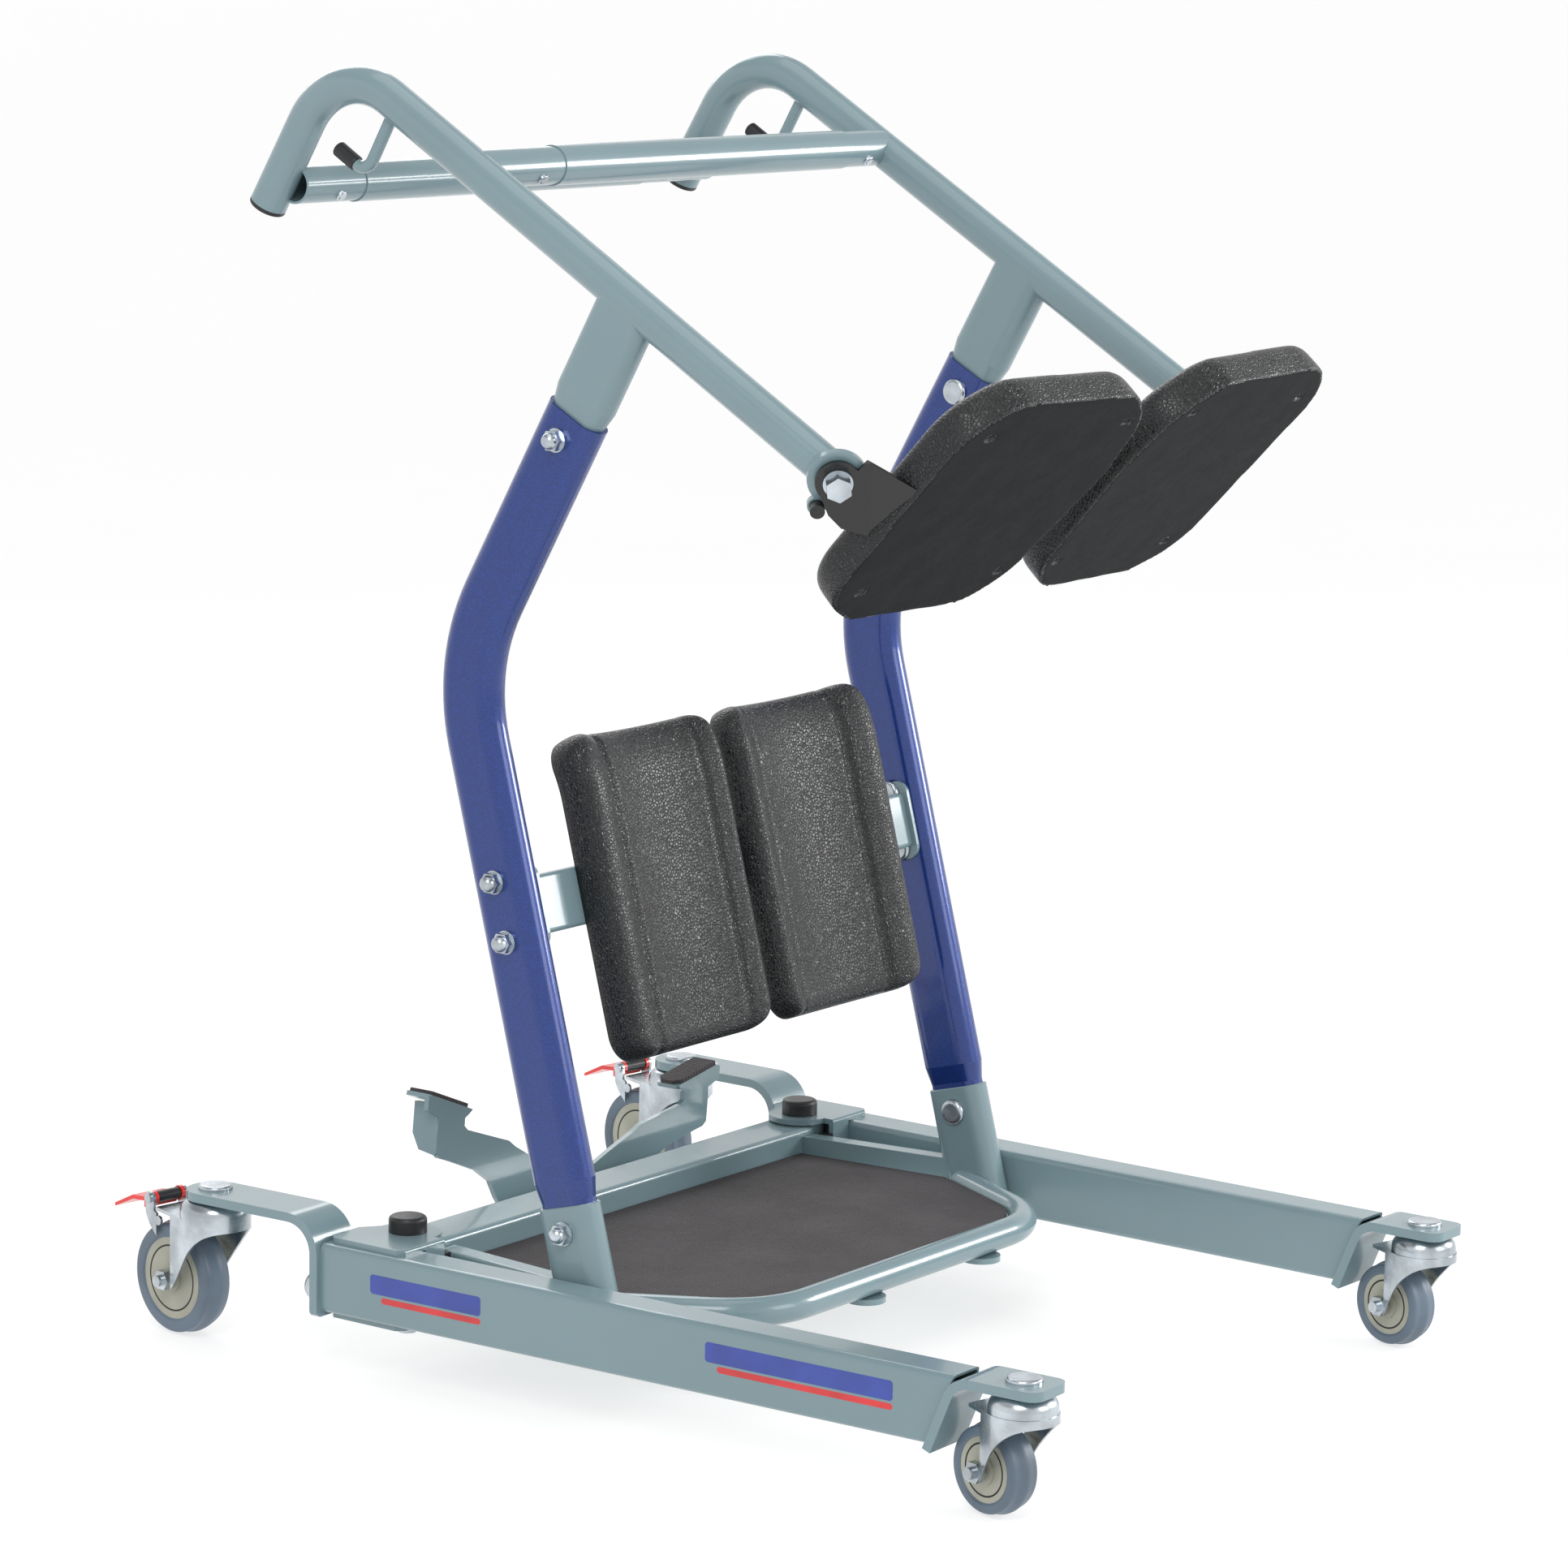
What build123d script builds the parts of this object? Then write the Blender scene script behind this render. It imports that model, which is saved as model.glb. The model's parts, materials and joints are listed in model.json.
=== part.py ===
from build123d import *
import os
from math import cos, hypot, radians, sin, tan

os.makedirs("parts", exist_ok=True)

# ---------------------------------------------------------------- driving dimensions, millimetres
# Ground is z = 0, +Y is the caregiver's side, -Y the side the user comes in from.
# Left is -X, right is +X, and y = 0 is the line through the two leg pivots. The files are
# written with the origin moved to the middle of the footprint, by ORIGIN_X and ORIGIN_Y.
ORIGIN_X, ORIGIN_Y = 1.07, -193
FIT = 0.08                     # radial running clearance of pins and shafts
GAP = 0.3                      # clearance between neighbours on different bodies

# legs
LEG_X = 328.4                  # leg centreline at the pivot line
LEG_TOE = 1.19                 # degrees, the legs close slightly towards the front
LEG_WIDE, LEG_TALL = 40, 60
LEG_BOTTOM = 53
LEG_TOP = LEG_BOTTOM + LEG_TALL
LEG_WALL = 2.5
LEG_REAR = 42                  # rear end of the tube
LEG_FRONT_LOW, LEG_FRONT_HIGH = -575, -599
BAR_WIDE, BAR_THICK = 50, 8
REAR_BAR_LOW, REAR_BAR_MID = 49, 132
REAR_BAR_BEND = 29
FRONT_BAR_MID = 110
FRONT_BAR_BEND = 20
FRONT_BAR_END = -679

# leg pivots
PIVOT_X = 284
PIVOT_BOLT_R = 8
PLATE_T = 5
PLATE_EDGE_X = 340
PLATE_FRONT, PLATE_REAR = -40, 41
PLATE_ROUND = 29

# casters: wheel radius, wheel width, trail, total height, swivel position, heading angle
REAR_R, REAR_W, REAR_TRAIL, REAR_H = 50, 30, 43, 128
FRONT_R, FRONT_W, FRONT_TRAIL, FRONT_H = 37.5, 28, 30, 106
REAR_SWIVEL = (332.1, 176.6)
FRONT_SWIVEL = (314.9, -651.7)
REAR_HEADING, FRONT_HEADING = 7.8, 13.2
CASTER_BOLT_R = 6
AXLE_R = 5
BRAKE_PIVOT = (66, 118)

# base frame
BEAM_LOW, BEAM_HIGH, BEAM_DEEP, BEAM_WALL = 55.5, 111.5, 50, 3
BUSH_R = 23.5
SIDE_BAR_LOW, SIDE_BAR_HIGH, SIDE_BAR_WIDE = 65, 105, 19
TUBE_R, TUBE_Z, TUBE_Y = 12.7, 84, -323
TUBE_BEND, TUBE_FLAT, TUBE_TURN = 85, 152, 61
PAN_Z, PAN_T, MAT_T = 85, 2, 3

# posts: flat-oval tube, leaning back and then forwards
POST_X, POST_DEEP, POST_WIDE, POST_WALL = 286, 58, 30, 2.5
SWAGE = 5                      # how much smaller the pushed-in ends are
LOWER_LEAN, UPPER_LEAN = 15, 29
POST_BEND = 165
BEND_Y, BEND_Z = -58.3, 614.4
SOCKET_LOW, SOCKET_HIGH = 60, 171
POST_LOW = 191
POST_TOP_RUN = 246.5           # along the upper line from the bend corner to the post's top
SHOULDER = 16

# handles
HANDLE_X, HANDLE_R, HANDLE_WALL = 287, 16, 2
HANDLE_PITCH = 31
HANDLE_LOW_Y, HANDLE_LOW_Z = -436, 801.2
HANDLE_CORNER_Y = 79.8
HANDLE_BEND, GRIP_RUN = 67, 149
CROSS_FRONT_Y, CROSS_REAR = -68, (130, 1000)
CROSS_R, STUB_R = 17, 16

# knee rest
KNEE_Y, KNEE_Z = -113, 412
KNEE_BAR_TALL, KNEE_BAR_DEEP, KNEE_WALL = 50, 30, 2.5
KNEE_PAD_IN, KNEE_PAD_OUT = 8, 214
KNEE_PAD_LOW, KNEE_PAD_BEND, KNEE_PAD_HIGH = -147, 78, 137
KNEE_PAD_T, KNEE_TROUGH_T = 31, 15
KNEE_PAD_ROLL = 14             # how far the top of the pad rolls back

# seat
SEAT_AXIS = Vector(-0.7071, -0.6061, -0.3642)
SEAT_PIVOT = Vector(-HANDLE_X, HANDLE_LOW_Y, HANDLE_LOW_Z)
SEAT_CENTRE = (-139.7, -482.8, 764.5)
SEAT_OUT = (-0.9988, 0.0479, -0.0031)
SEAT_FACE = (0.0328, 0.7276, 0.6853)
SEAT_PAD_T = 35
SEAT_BOLT_R = 6

# spreading pedal
ROCKER_Z, ROCKER_Y, ROCKER_T = 95, 47, 5
ROCKER_TILT = 6.1
ROCKER_PIN_R = 8
TREAD_DEEP = 28

pieces = {}


def keep(shape, label):
    """Register one finished piece under its node name."""
    shape.label = label
    pieces[label] = shape


def flip(shape):
    """The same piece on the other side of the centre plane."""
    return shape.mirror(Plane.YZ)


def both(shape):
    """The left piece and its mirror image as one group."""
    return Compound(children=[shape, flip(shape)])


def post_y(z):
    """Centreline of the lower, back-leaning run of a post."""
    return BEND_Y + tan(radians(LOWER_LEAN)) * (z - BEND_Z)


def upper_point(run):
    """Point on the upper, forward-leaning run, measured from the bend corner."""
    lean = radians(UPPER_LEAN)
    return (BEND_Y - run * sin(lean), BEND_Z + run * cos(lean))


def handle_z(y):
    """Centreline height of a handle tube's straight run."""
    return HANDLE_LOW_Z + tan(radians(HANDLE_PITCH)) * (y - HANDLE_LOW_Y)


def oval(deep, wide):
    """Flat-oval profile, long side across local Y."""
    SlotOverall(deep, wide, rotation=90)


LOWER_DIR = (0, sin(radians(LOWER_LEAN)), cos(radians(LOWER_LEAN)))
UPPER_DIR = (0, -sin(radians(UPPER_LEAN)), cos(radians(UPPER_LEAN)))


def lower_plane(z):
    return Plane(origin=(-POST_X, post_y(z), z), x_dir=(1, 0, 0), z_dir=LOWER_DIR)


def upper_plane(run):
    y, z = upper_point(run)
    return Plane(origin=(-POST_X, y, z), x_dir=(1, 0, 0), z_dir=UPPER_DIR)


# ---------------------------------------------------------------- fasteners
def dome_bolt(x_nut, x_head, y, z):
    """Carriage bolt across the frame: dome nut and washer at x_nut, round head at x_head."""
    out = -1 if x_nut < x_head else 1
    nut_plane = Plane(origin=(x_nut, y, z), x_dir=(0, 1, 0), z_dir=(out, 0, 0))
    head_plane = Plane(origin=(x_head, y, z), x_dir=(0, 1, 0), z_dir=(-out, 0, 0))
    with BuildPart() as nut:
        with BuildSketch(nut_plane):
            Circle(10)
        extrude(amount=1.6)
        with BuildSketch(nut_plane.offset(1.6)):
            RegularPolygon(radius=9.2, side_count=6)
        extrude(amount=6.5)
        with BuildSketch(nut_plane.offset(8.1)):
            Circle(7)
        extrude(amount=7)
        fillet(nut.edges().filter_by(GeomType.CIRCLE).sort_by(Axis.X)[-1 if out > 0 else 0], 6)
        with BuildSketch(nut_plane):
            Circle(5)
        extrude(amount=-abs(x_nut - x_head))
        with BuildSketch(head_plane):
            Circle(12)
        extrude(amount=4.5)
        fillet(nut.edges().filter_by(GeomType.CIRCLE).sort_by(Axis.X)[0 if out > 0 else -1], 4)
    return nut.part


def hex_screw(plane, head_flat, head_tall, washer_r, shank_r, shank_long):
    """Hexagon head on a washer, shank running back from the plane."""
    with BuildPart() as screw:
        with BuildSketch(plane):
            Circle(washer_r)
        extrude(amount=2)
        with BuildSketch(plane.offset(2)):
            RegularPolygon(radius=head_flat / 2, side_count=6, major_radius=False)
        extrude(amount=head_tall)
        with BuildSketch(plane):
            Circle(shank_r)
        extrude(amount=-shank_long)
    return screw.part


# ---------------------------------------------------------------- leg
def leg_place(shape, side):
    """Put a piece drawn on the leg's own centreline onto the left (-1) or right (+1) leg."""
    return Location((side * LEG_X, 0, 0), (0, 0, -side * LEG_TOE)) * shape


with BuildPart() as leg:
    with BuildSketch(Plane.XZ.offset(-LEG_REAR)):
        with Locations((0, (LEG_BOTTOM + LEG_TOP) / 2)):
            RectangleRounded(LEG_WIDE, LEG_TALL, 6)
            RectangleRounded(LEG_WIDE - 2 * LEG_WALL, LEG_TALL - 2 * LEG_WALL, 4, mode=Mode.SUBTRACT)
    extrude(amount=LEG_REAR - LEG_FRONT_HIGH + 10)
    with BuildSketch(Plane.YZ):
        with BuildLine():
            Polyline(
                (LEG_FRONT_LOW, LEG_BOTTOM),
                (LEG_FRONT_HIGH, LEG_TOP),
                (LEG_FRONT_HIGH - 20, LEG_TOP),
                (LEG_FRONT_HIGH - 20, LEG_BOTTOM),
                close=True,
            )
        make_face()
    extrude(amount=LEG_WIDE, both=True, mode=Mode.SUBTRACT)
for side, name in ((-1, "left"), (1, "right")):
    keep(leg_place(leg.part, side), f"leg_{name}")

# flat bars that carry the casters
slant = (LEG_FRONT_HIGH - LEG_FRONT_LOW) / LEG_TALL
slant_shift = BAR_THICK / 2 * hypot(1, slant)


def slant_y(z):
    """Centreline of the front bar where it lies on the tube's slanted end."""
    return LEG_FRONT_LOW + slant * (z - LEG_BOTTOM) - slant_shift


rear_swivel_run = REAR_SWIVEL[1] / cos(radians(LEG_TOE))
front_swivel_run = FRONT_SWIVEL[1] / cos(radians(LEG_TOE))

with BuildPart() as rear_bar:
    with BuildLine(Plane.YZ) as rear_spine:
        FilletPolyline(
            (LEG_REAR + BAR_THICK / 2, REAR_BAR_LOW),
            (LEG_REAR + BAR_THICK / 2, REAR_BAR_MID),
            (rear_swivel_run + BAR_WIDE / 2, REAR_BAR_MID),
            radius=REAR_BAR_BEND,
        )
    with BuildSketch(Plane.XY.offset(REAR_BAR_LOW)):
        with Locations((0, LEG_REAR + BAR_THICK / 2)):
            Rectangle(BAR_WIDE, BAR_THICK)
    sweep(path=rear_spine.line)
    with BuildSketch(Plane.XY.offset(REAR_BAR_LOW)):
        with Locations((0, rear_swivel_run - 100)):
            Rectangle(BAR_WIDE, 200)
        with Locations((0, rear_swivel_run)):
            Circle(BAR_WIDE / 2)
    extrude(amount=100, mode=Mode.INTERSECT)
    fillet(rear_bar.edges().filter_by(Axis.Y).group_by(Axis.Z)[0], 6)
    with BuildSketch(Plane.XY.offset(REAR_BAR_MID - BAR_THICK)):
        with Locations((0, rear_swivel_run)):
            Circle(CASTER_BOLT_R)
    extrude(amount=2 * BAR_THICK, mode=Mode.SUBTRACT)

with BuildPart() as front_bar:
    with BuildLine(Plane.YZ) as front_spine:
        FilletPolyline(
            (slant_y(LEG_BOTTOM - 3), LEG_BOTTOM - 3),
            (slant_y(FRONT_BAR_MID), FRONT_BAR_MID),
            (FRONT_BAR_END, FRONT_BAR_MID),
            radius=FRONT_BAR_BEND,
        )
    with BuildSketch(Plane(front_spine.line @ 0, x_dir=(1, 0, 0), z_dir=front_spine.line % 0)):
        Rectangle(BAR_WIDE, BAR_THICK)
    sweep(path=front_spine.line)
    fillet(front_bar.edges().filter_by(Axis.Z).group_by(Axis.Y)[0], 12)
    with BuildSketch(Plane.XY.offset(FRONT_BAR_MID - BAR_THICK)):
        with Locations((0, front_swivel_run)):
            Circle(CASTER_BOLT_R)
    extrude(amount=2 * BAR_THICK, mode=Mode.SUBTRACT)
for side, name in ((-1, "left"), (1, "right")):
    bars = [leg_place(rear_bar.part, side), leg_place(front_bar.part, side)]
    keep(Compound(children=bars), f"caster_bars_{name}")


def caster_bolt(run, top, depth):
    """Broad shallow head on top of a flat bar, shank down into the raceway."""
    with BuildPart() as bolt:
        with BuildSketch(Plane.XY.offset(top)):
            with Locations((0, run)):
                Circle(15)
        extrude(amount=4)
        fillet(bolt.edges().group_by(Axis.Z)[-1], 2.5)
        with BuildSketch(Plane.XY.offset(top)):
            with Locations((0, run)):
                Circle(CASTER_BOLT_R)
        extrude(amount=-depth)
    return bolt.part


with BuildPart() as plate_dome:
    with BuildSketch(Plane.XZ.offset(-(LEG_REAR + BAR_THICK))):
        with Locations((0, 73)):
            Circle(13)
    extrude(amount=-12)
    fillet(plate_dome.edges().group_by(Axis.Y)[-1], 9)
for side, name in ((-1, "left"), (1, "right")):
    # the dome sits towards the outside of the rear plate
    dome = Location((side * 10, 0, 0)) * plate_dome.part
    rear_bolt = caster_bolt(rear_swivel_run, REAR_BAR_MID + BAR_THICK / 2, 20)
    front_bolt = caster_bolt(front_swivel_run, FRONT_BAR_MID + BAR_THICK / 2, 18)
    bolts = [leg_place(piece, side) for piece in (rear_bolt, front_bolt, dome)]
    keep(Compound(children=bolts), f"caster_bolts_{name}")

# folded pivot bracket: top plate, front web and bottom plate
with BuildPart() as bracket:
    for low in (LEG_TOP, LEG_BOTTOM - PLATE_T):
        with BuildSketch(Plane.XY.offset(low)):
            with BuildLine():
                Polyline(
                    (-PIVOT_X, PLATE_REAR - 12),
                    (-PIVOT_X - 16, PLATE_REAR),
                    (-PLATE_EDGE_X + 6, PLATE_REAR),
                    (-PLATE_EDGE_X, PLATE_REAR - 6),
                    (-PLATE_EDGE_X, PLATE_FRONT + 6),
                    (-PLATE_EDGE_X + 6, PLATE_FRONT),
                    (-PIVOT_X + 1, PLATE_FRONT),
                    close=True,
                )
            make_face()
            with Locations((-PIVOT_X, 0)):
                Circle(PLATE_ROUND)
                Circle(PIVOT_BOLT_R + FIT, mode=Mode.SUBTRACT)
        extrude(amount=PLATE_T)
    with BuildSketch(Plane.XY.offset(LEG_BOTTOM)):
        with BuildLine():
            Polyline(
                (-PIVOT_X + 1, PLATE_FRONT),
                (-PIVOT_X + 1, PLATE_FRONT + PLATE_T),
                (-LEG_X + LEG_WIDE / 2 + 0.9, PLATE_FRONT + PLATE_T),
                (-LEG_X + LEG_WIDE / 2 + 1.0, PLATE_FRONT),
                close=True,
            )
        make_face()
    extrude(amount=LEG_TALL)
    top_front = bracket.edges().filter_by(Axis.X).group_by(Axis.Z)[-1].sort_by(Axis.Y)[0]
    fillet(top_front, 3)
keep(bracket.part, "pivot_bracket_left")
keep(flip(bracket.part), "pivot_bracket_right")

# ---------------------------------------------------------------- leg pivots, on the base frame
with BuildPart() as pivot_bolt:
    with BuildSketch(Plane.XY.offset(30)):
        with Locations((-PIVOT_X, 0)):
            Circle(PIVOT_BOLT_R)
    extrude(amount=LEG_TOP + PLATE_T + GAP - 30)
    with BuildSketch(Plane.XY.offset(LEG_TOP + PLATE_T + GAP)):
        with Locations((-PIVOT_X, 0)):
            RegularPolygon(radius=12, side_count=6, major_radius=False)
    extrude(amount=8)
    with BuildSketch(Plane.XY.offset(LEG_BOTTOM - PLATE_T - GAP)):
        with Locations((-PIVOT_X, 0)):
            Circle(15)
    extrude(amount=-2)
    with BuildSketch(Plane.XY.offset(LEG_BOTTOM - PLATE_T - GAP - 2)):
        with Locations((-PIVOT_X, 0)):
            RegularPolygon(radius=12, side_count=6, major_radius=False)
    extrude(amount=-12)
    for low, tall in ((BEAM_HIGH, LEG_TOP - GAP - BEAM_HIGH), (BEAM_LOW - 2.2, 2.2)):
        with BuildSketch(Plane.XY.offset(low)):
            with Locations((-PIVOT_X, 0)):
                Circle(BUSH_R - 3)
        extrude(amount=tall)

# bolt on which the spreading pedal rocks
rocker_pin_plane = Plane(origin=(0, BEAM_DEEP / 2, ROCKER_Z), x_dir=(1, 0, 0), z_dir=(0, 1, 0))
with BuildPart() as rocker_pin:
    with BuildSketch(rocker_pin_plane):
        Circle(14)
    extrude(amount=ROCKER_Y - BEAM_DEEP / 2 - GAP)
    with BuildSketch(rocker_pin_plane):
        Circle(ROCKER_PIN_R)
    extrude(amount=ROCKER_Y + ROCKER_T + GAP - BEAM_DEEP / 2)
    with BuildSketch(rocker_pin_plane.offset(ROCKER_Y + ROCKER_T + GAP - BEAM_DEEP / 2)):
        Circle(14)
    extrude(amount=2)
    with BuildSketch(rocker_pin_plane.offset(ROCKER_Y + ROCKER_T + GAP + 2 - BEAM_DEEP / 2)):
        RegularPolygon(radius=10, side_count=6, major_radius=False)
    extrude(amount=8)
keep(Compound(children=[pivot_bolt.part, flip(pivot_bolt.part), rocker_pin.part]), "pivot_bolts")

with BuildPart() as pivot_cap:
    with BuildSketch(Plane.XY.offset(LEG_TOP + PLATE_T + GAP)):
        with Locations((-PIVOT_X, 0)):
            Circle(16.5)
    extrude(amount=14)
    fillet(pivot_cap.edges().group_by(Axis.Z)[-1], 4)
    with BuildSketch(Plane.XY.offset(LEG_TOP + PLATE_T + GAP)):
        with Locations((-PIVOT_X, 0)):
            Circle(14.2)
    extrude(amount=9, mode=Mode.SUBTRACT)

# ---------------------------------------------------------------- base frame
with BuildPart() as beam:
    with BuildSketch(Plane.YZ):
        with Locations((0, (BEAM_LOW + BEAM_HIGH) / 2)):
            RectangleRounded(BEAM_DEEP, BEAM_HIGH - BEAM_LOW, 5)
    extrude(amount=PIVOT_X - 12, both=True)
    with BuildSketch(Plane.XY.offset(BEAM_LOW)):
        with Locations((-PIVOT_X, 0), (PIVOT_X, 0)):
            Circle(BUSH_R)
    extrude(amount=BEAM_HIGH - BEAM_LOW)
    with BuildSketch(Plane.YZ):
        with Locations((0, (BEAM_LOW + BEAM_HIGH) / 2)):
            RectangleRounded(BEAM_DEEP - 2 * BEAM_WALL, BEAM_HIGH - BEAM_LOW - 2 * BEAM_WALL, 3)
    extrude(amount=PIVOT_X - 40, both=True, mode=Mode.SUBTRACT)
    with BuildSketch(Plane.XY.offset(BEAM_LOW)):
        with Locations((-PIVOT_X, 0), (PIVOT_X, 0)):
            Circle(PIVOT_BOLT_R)
    extrude(amount=BEAM_HIGH - BEAM_LOW, mode=Mode.SUBTRACT)
keep(beam.part, "rear_beam")

# lower sockets take the posts
with BuildPart() as socket:
    with BuildSketch(lower_plane(SOCKET_LOW)):
        oval(POST_DEEP, POST_WIDE)
        oval(POST_DEEP - 2 * SWAGE, POST_WIDE - 2 * SWAGE / 1.6)
    extrude(amount=(SOCKET_HIGH - SOCKET_LOW) / cos(radians(LOWER_LEAN)))
    chamfer(socket.edges().group_by(Axis.Z)[-1], 1)
socket_solid = socket.part
INSERT_DEEP, INSERT_WIDE = POST_DEEP - 2 * SWAGE + 4, POST_WIDE - SWAGE
with BuildPart() as socket_bored:
    add(socket_solid)
    with BuildSketch(lower_plane(SOCKET_LOW)):
        oval(INSERT_DEEP, INSERT_WIDE)
    extrude(amount=150, mode=Mode.SUBTRACT)
lower_bolt_z = 150
lower_bolt_y = post_y(lower_bolt_z)
with BuildPart() as lower_socket:
    add(socket_bored.part)
    with BuildSketch(Plane.YZ.offset(-POST_X)):
        with Locations((lower_bolt_y, lower_bolt_z)):
            Circle(5)
    extrude(amount=POST_WIDE, both=True, mode=Mode.SUBTRACT)
keep(both(lower_socket.part), "lower_sockets")

with BuildPart() as side_bar:
    with BuildSketch(Plane.XY.offset(SIDE_BAR_LOW)):
        with BuildLine():
            Polyline(
                (-254, -BEAM_DEEP / 2),
                (-254 - SIDE_BAR_WIDE, -BEAM_DEEP / 2),
                (-254 - SIDE_BAR_WIDE - 18, -178),
                (-254 - 18, -178),
                close=True,
            )
        make_face()
    extrude(amount=SIDE_BAR_HIGH - SIDE_BAR_LOW)
    fillet(side_bar.edges().filter_by_position(Axis.Z, SIDE_BAR_HIGH, SIDE_BAR_HIGH).sort_by(Axis.X)[0], 3)
    fillet(side_bar.edges().filter_by_position(Axis.Z, SIDE_BAR_HIGH, SIDE_BAR_HIGH).sort_by(Axis.X)[-1], 3)
    add(socket_solid, mode=Mode.SUBTRACT)
keep(both(side_bar.part), "side_bars")


def tube_edge(outset):
    """Half of the front tube's line, moved towards the outside by outset."""
    turn = radians(TUBE_TURN)
    r = TUBE_BEND + outset
    start = (-TUBE_FLAT, TUBE_Y - outset)
    middle = (-TUBE_FLAT - r * sin(turn / 2), TUBE_Y + TUBE_BEND - r * cos(turn / 2))
    end = (-TUBE_FLAT - r * sin(turn), TUBE_Y + TUBE_BEND - r * cos(turn))
    return start, middle, end


tube_start, tube_middle, tube_end = tube_edge(0)
tail = 100
tube_tail = (
    tube_end[0] - tail * cos(radians(TUBE_TURN)),
    tube_end[1] + tail * sin(radians(TUBE_TURN)),
)
with BuildPart() as front_tube:
    with BuildLine(Plane.XY.offset(TUBE_Z)) as tube_line:
        Line((-tube_tail[0], tube_tail[1]), (-tube_end[0], tube_end[1]))
        ThreePointArc((-tube_end[0], tube_end[1]), (-tube_middle[0], tube_middle[1]), (-tube_start[0], tube_start[1]))
        Line((-tube_start[0], tube_start[1]), tube_start)
        ThreePointArc(tube_start, tube_middle, tube_end)
        Line(tube_end, tube_tail)
    with BuildSketch(Plane(tube_line.line @ 0, z_dir=tube_line.line % 0)):
        Circle(TUBE_R)
        Circle(TUBE_R - 2, mode=Mode.SUBTRACT)
    sweep(path=tube_line.line)
    add(socket_solid, mode=Mode.SUBTRACT)
    add(flip(socket_solid), mode=Mode.SUBTRACT)
keep(front_tube.part, "front_tube")


def pan_outline(inset, rear):
    """Footplate outline, a set distance inside the tube and the side bars."""
    start, middle, end = tube_edge(-TUBE_R - inset)
    side_front = (-264 + inset, -181)
    side_rear = (-252 + inset, rear)
    Line(start, (TUBE_FLAT, start[1]))
    ThreePointArc(start, middle, end)
    Line(end, side_front)
    Line(side_front, side_rear)
    Line(side_rear, (-side_rear[0], rear))
    Line((-side_rear[0], rear), (-side_front[0], side_front[1]))
    Line((-side_front[0], side_front[1]), (-end[0], end[1]))
    ThreePointArc((-end[0], end[1]), (-middle[0], middle[1]), (-start[0], start[1]))


with BuildPart() as pan:
    with BuildSketch(Plane.XY.offset(PAN_Z)):
        with BuildLine():
            pan_outline(0.2, -BEAM_DEEP / 2)
        make_face()
    extrude(amount=PAN_T)
    # folded lip under the rear edge and two stiffening ribs
    with BuildSketch(Plane.XY.offset(PAN_Z)):
        with Locations((0, -BEAM_DEEP / 2 - 1)):
            Rectangle(480, 2)
        with Locations((0, -110), (0, -230)):
            Rectangle(400, 4)
    extrude(amount=-12)
keep(pan.part, "footplate_pan")

with BuildPart() as mat:
    with BuildSketch(Plane.XY.offset(PAN_Z + PAN_T)):
        with BuildLine():
            pan_outline(1.5, -BEAM_DEEP / 2 - 1.5)
        make_face()
    extrude(amount=MAT_T)
keep(mat.part, "footplate_mat")

with BuildPart() as feet:
    with BuildSketch(Plane.XY.offset(TUBE_Z - TUBE_R - 5)):
        with Locations((115, TUBE_Y + 2), (-60, TUBE_Y + 2)):
            Circle(17.5)
    extrude(amount=5)
keep(feet.part, "footplate_feet")

# ---------------------------------------------------------------- posts
upper_bolt_run = 222.8
upper_bolt_y, upper_bolt_z = upper_point(upper_bolt_run)
knee_bolts = ((post_y(437), 437), (post_y(388), 388))
with BuildPart() as post:
    with BuildLine(Plane.YZ.offset(-POST_X)) as post_line:
        FilletPolyline(
            (post_y(POST_LOW), POST_LOW),
            (BEND_Y, BEND_Z),
            upper_point(POST_TOP_RUN),
            radius=POST_BEND,
        )
    with BuildSketch(lower_plane(POST_LOW)):
        oval(POST_DEEP, POST_WIDE)
        SlotOverall(INSERT_DEEP, INSERT_WIDE, rotation=90, mode=Mode.SUBTRACT)
    sweep(path=post_line.line)
    # swaged end that enters the lower socket
    with BuildSketch(lower_plane(POST_LOW)):
        oval(POST_DEEP, POST_WIDE)
    with BuildSketch(lower_plane(POST_LOW - SHOULDER)):
        oval(INSERT_DEEP, INSERT_WIDE)
    loft()
    with BuildSketch(lower_plane(POST_LOW - SHOULDER)):
        oval(INSERT_DEEP, INSERT_WIDE)
    extrude(amount=-62)
    with BuildSketch(Plane.YZ.offset(-POST_X)):
        with Locations((lower_bolt_y, lower_bolt_z), (upper_bolt_y, upper_bolt_z), *knee_bolts):
            Circle(5)
    extrude(amount=POST_WIDE, both=True, mode=Mode.SUBTRACT)
keep(post.part, "post_left")
keep(flip(post.part), "post_right")

# ---------------------------------------------------------------- handles
pitch = radians(HANDLE_PITCH)
handle_dir = (cos(pitch), sin(pitch))
corner = (HANDLE_CORNER_Y, handle_z(HANDLE_CORNER_Y))
grip_tip = (corner[0] + GRIP_RUN * sin(pitch), corner[1] - GRIP_RUN * cos(pitch))
extra = 24
handle_start = (HANDLE_LOW_Y - extra * handle_dir[0], HANDLE_LOW_Z - extra * handle_dir[1])
mitre_plane = Plane(origin=SEAT_PIVOT, z_dir=SEAT_AXIS)
with BuildPart() as handle:
    with BuildLine(Plane.YZ.offset(-HANDLE_X)) as handle_line:
        FilletPolyline(handle_start, corner, grip_tip, radius=HANDLE_BEND)
    with BuildSketch(Plane(handle_line.line @ 0, z_dir=handle_line.line % 0)):
        Circle(HANDLE_R)
    sweep(path=handle_line.line)
    split(bisect_by=mitre_plane, keep=Keep.BOTTOM)
handle_solid = handle.part
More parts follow.
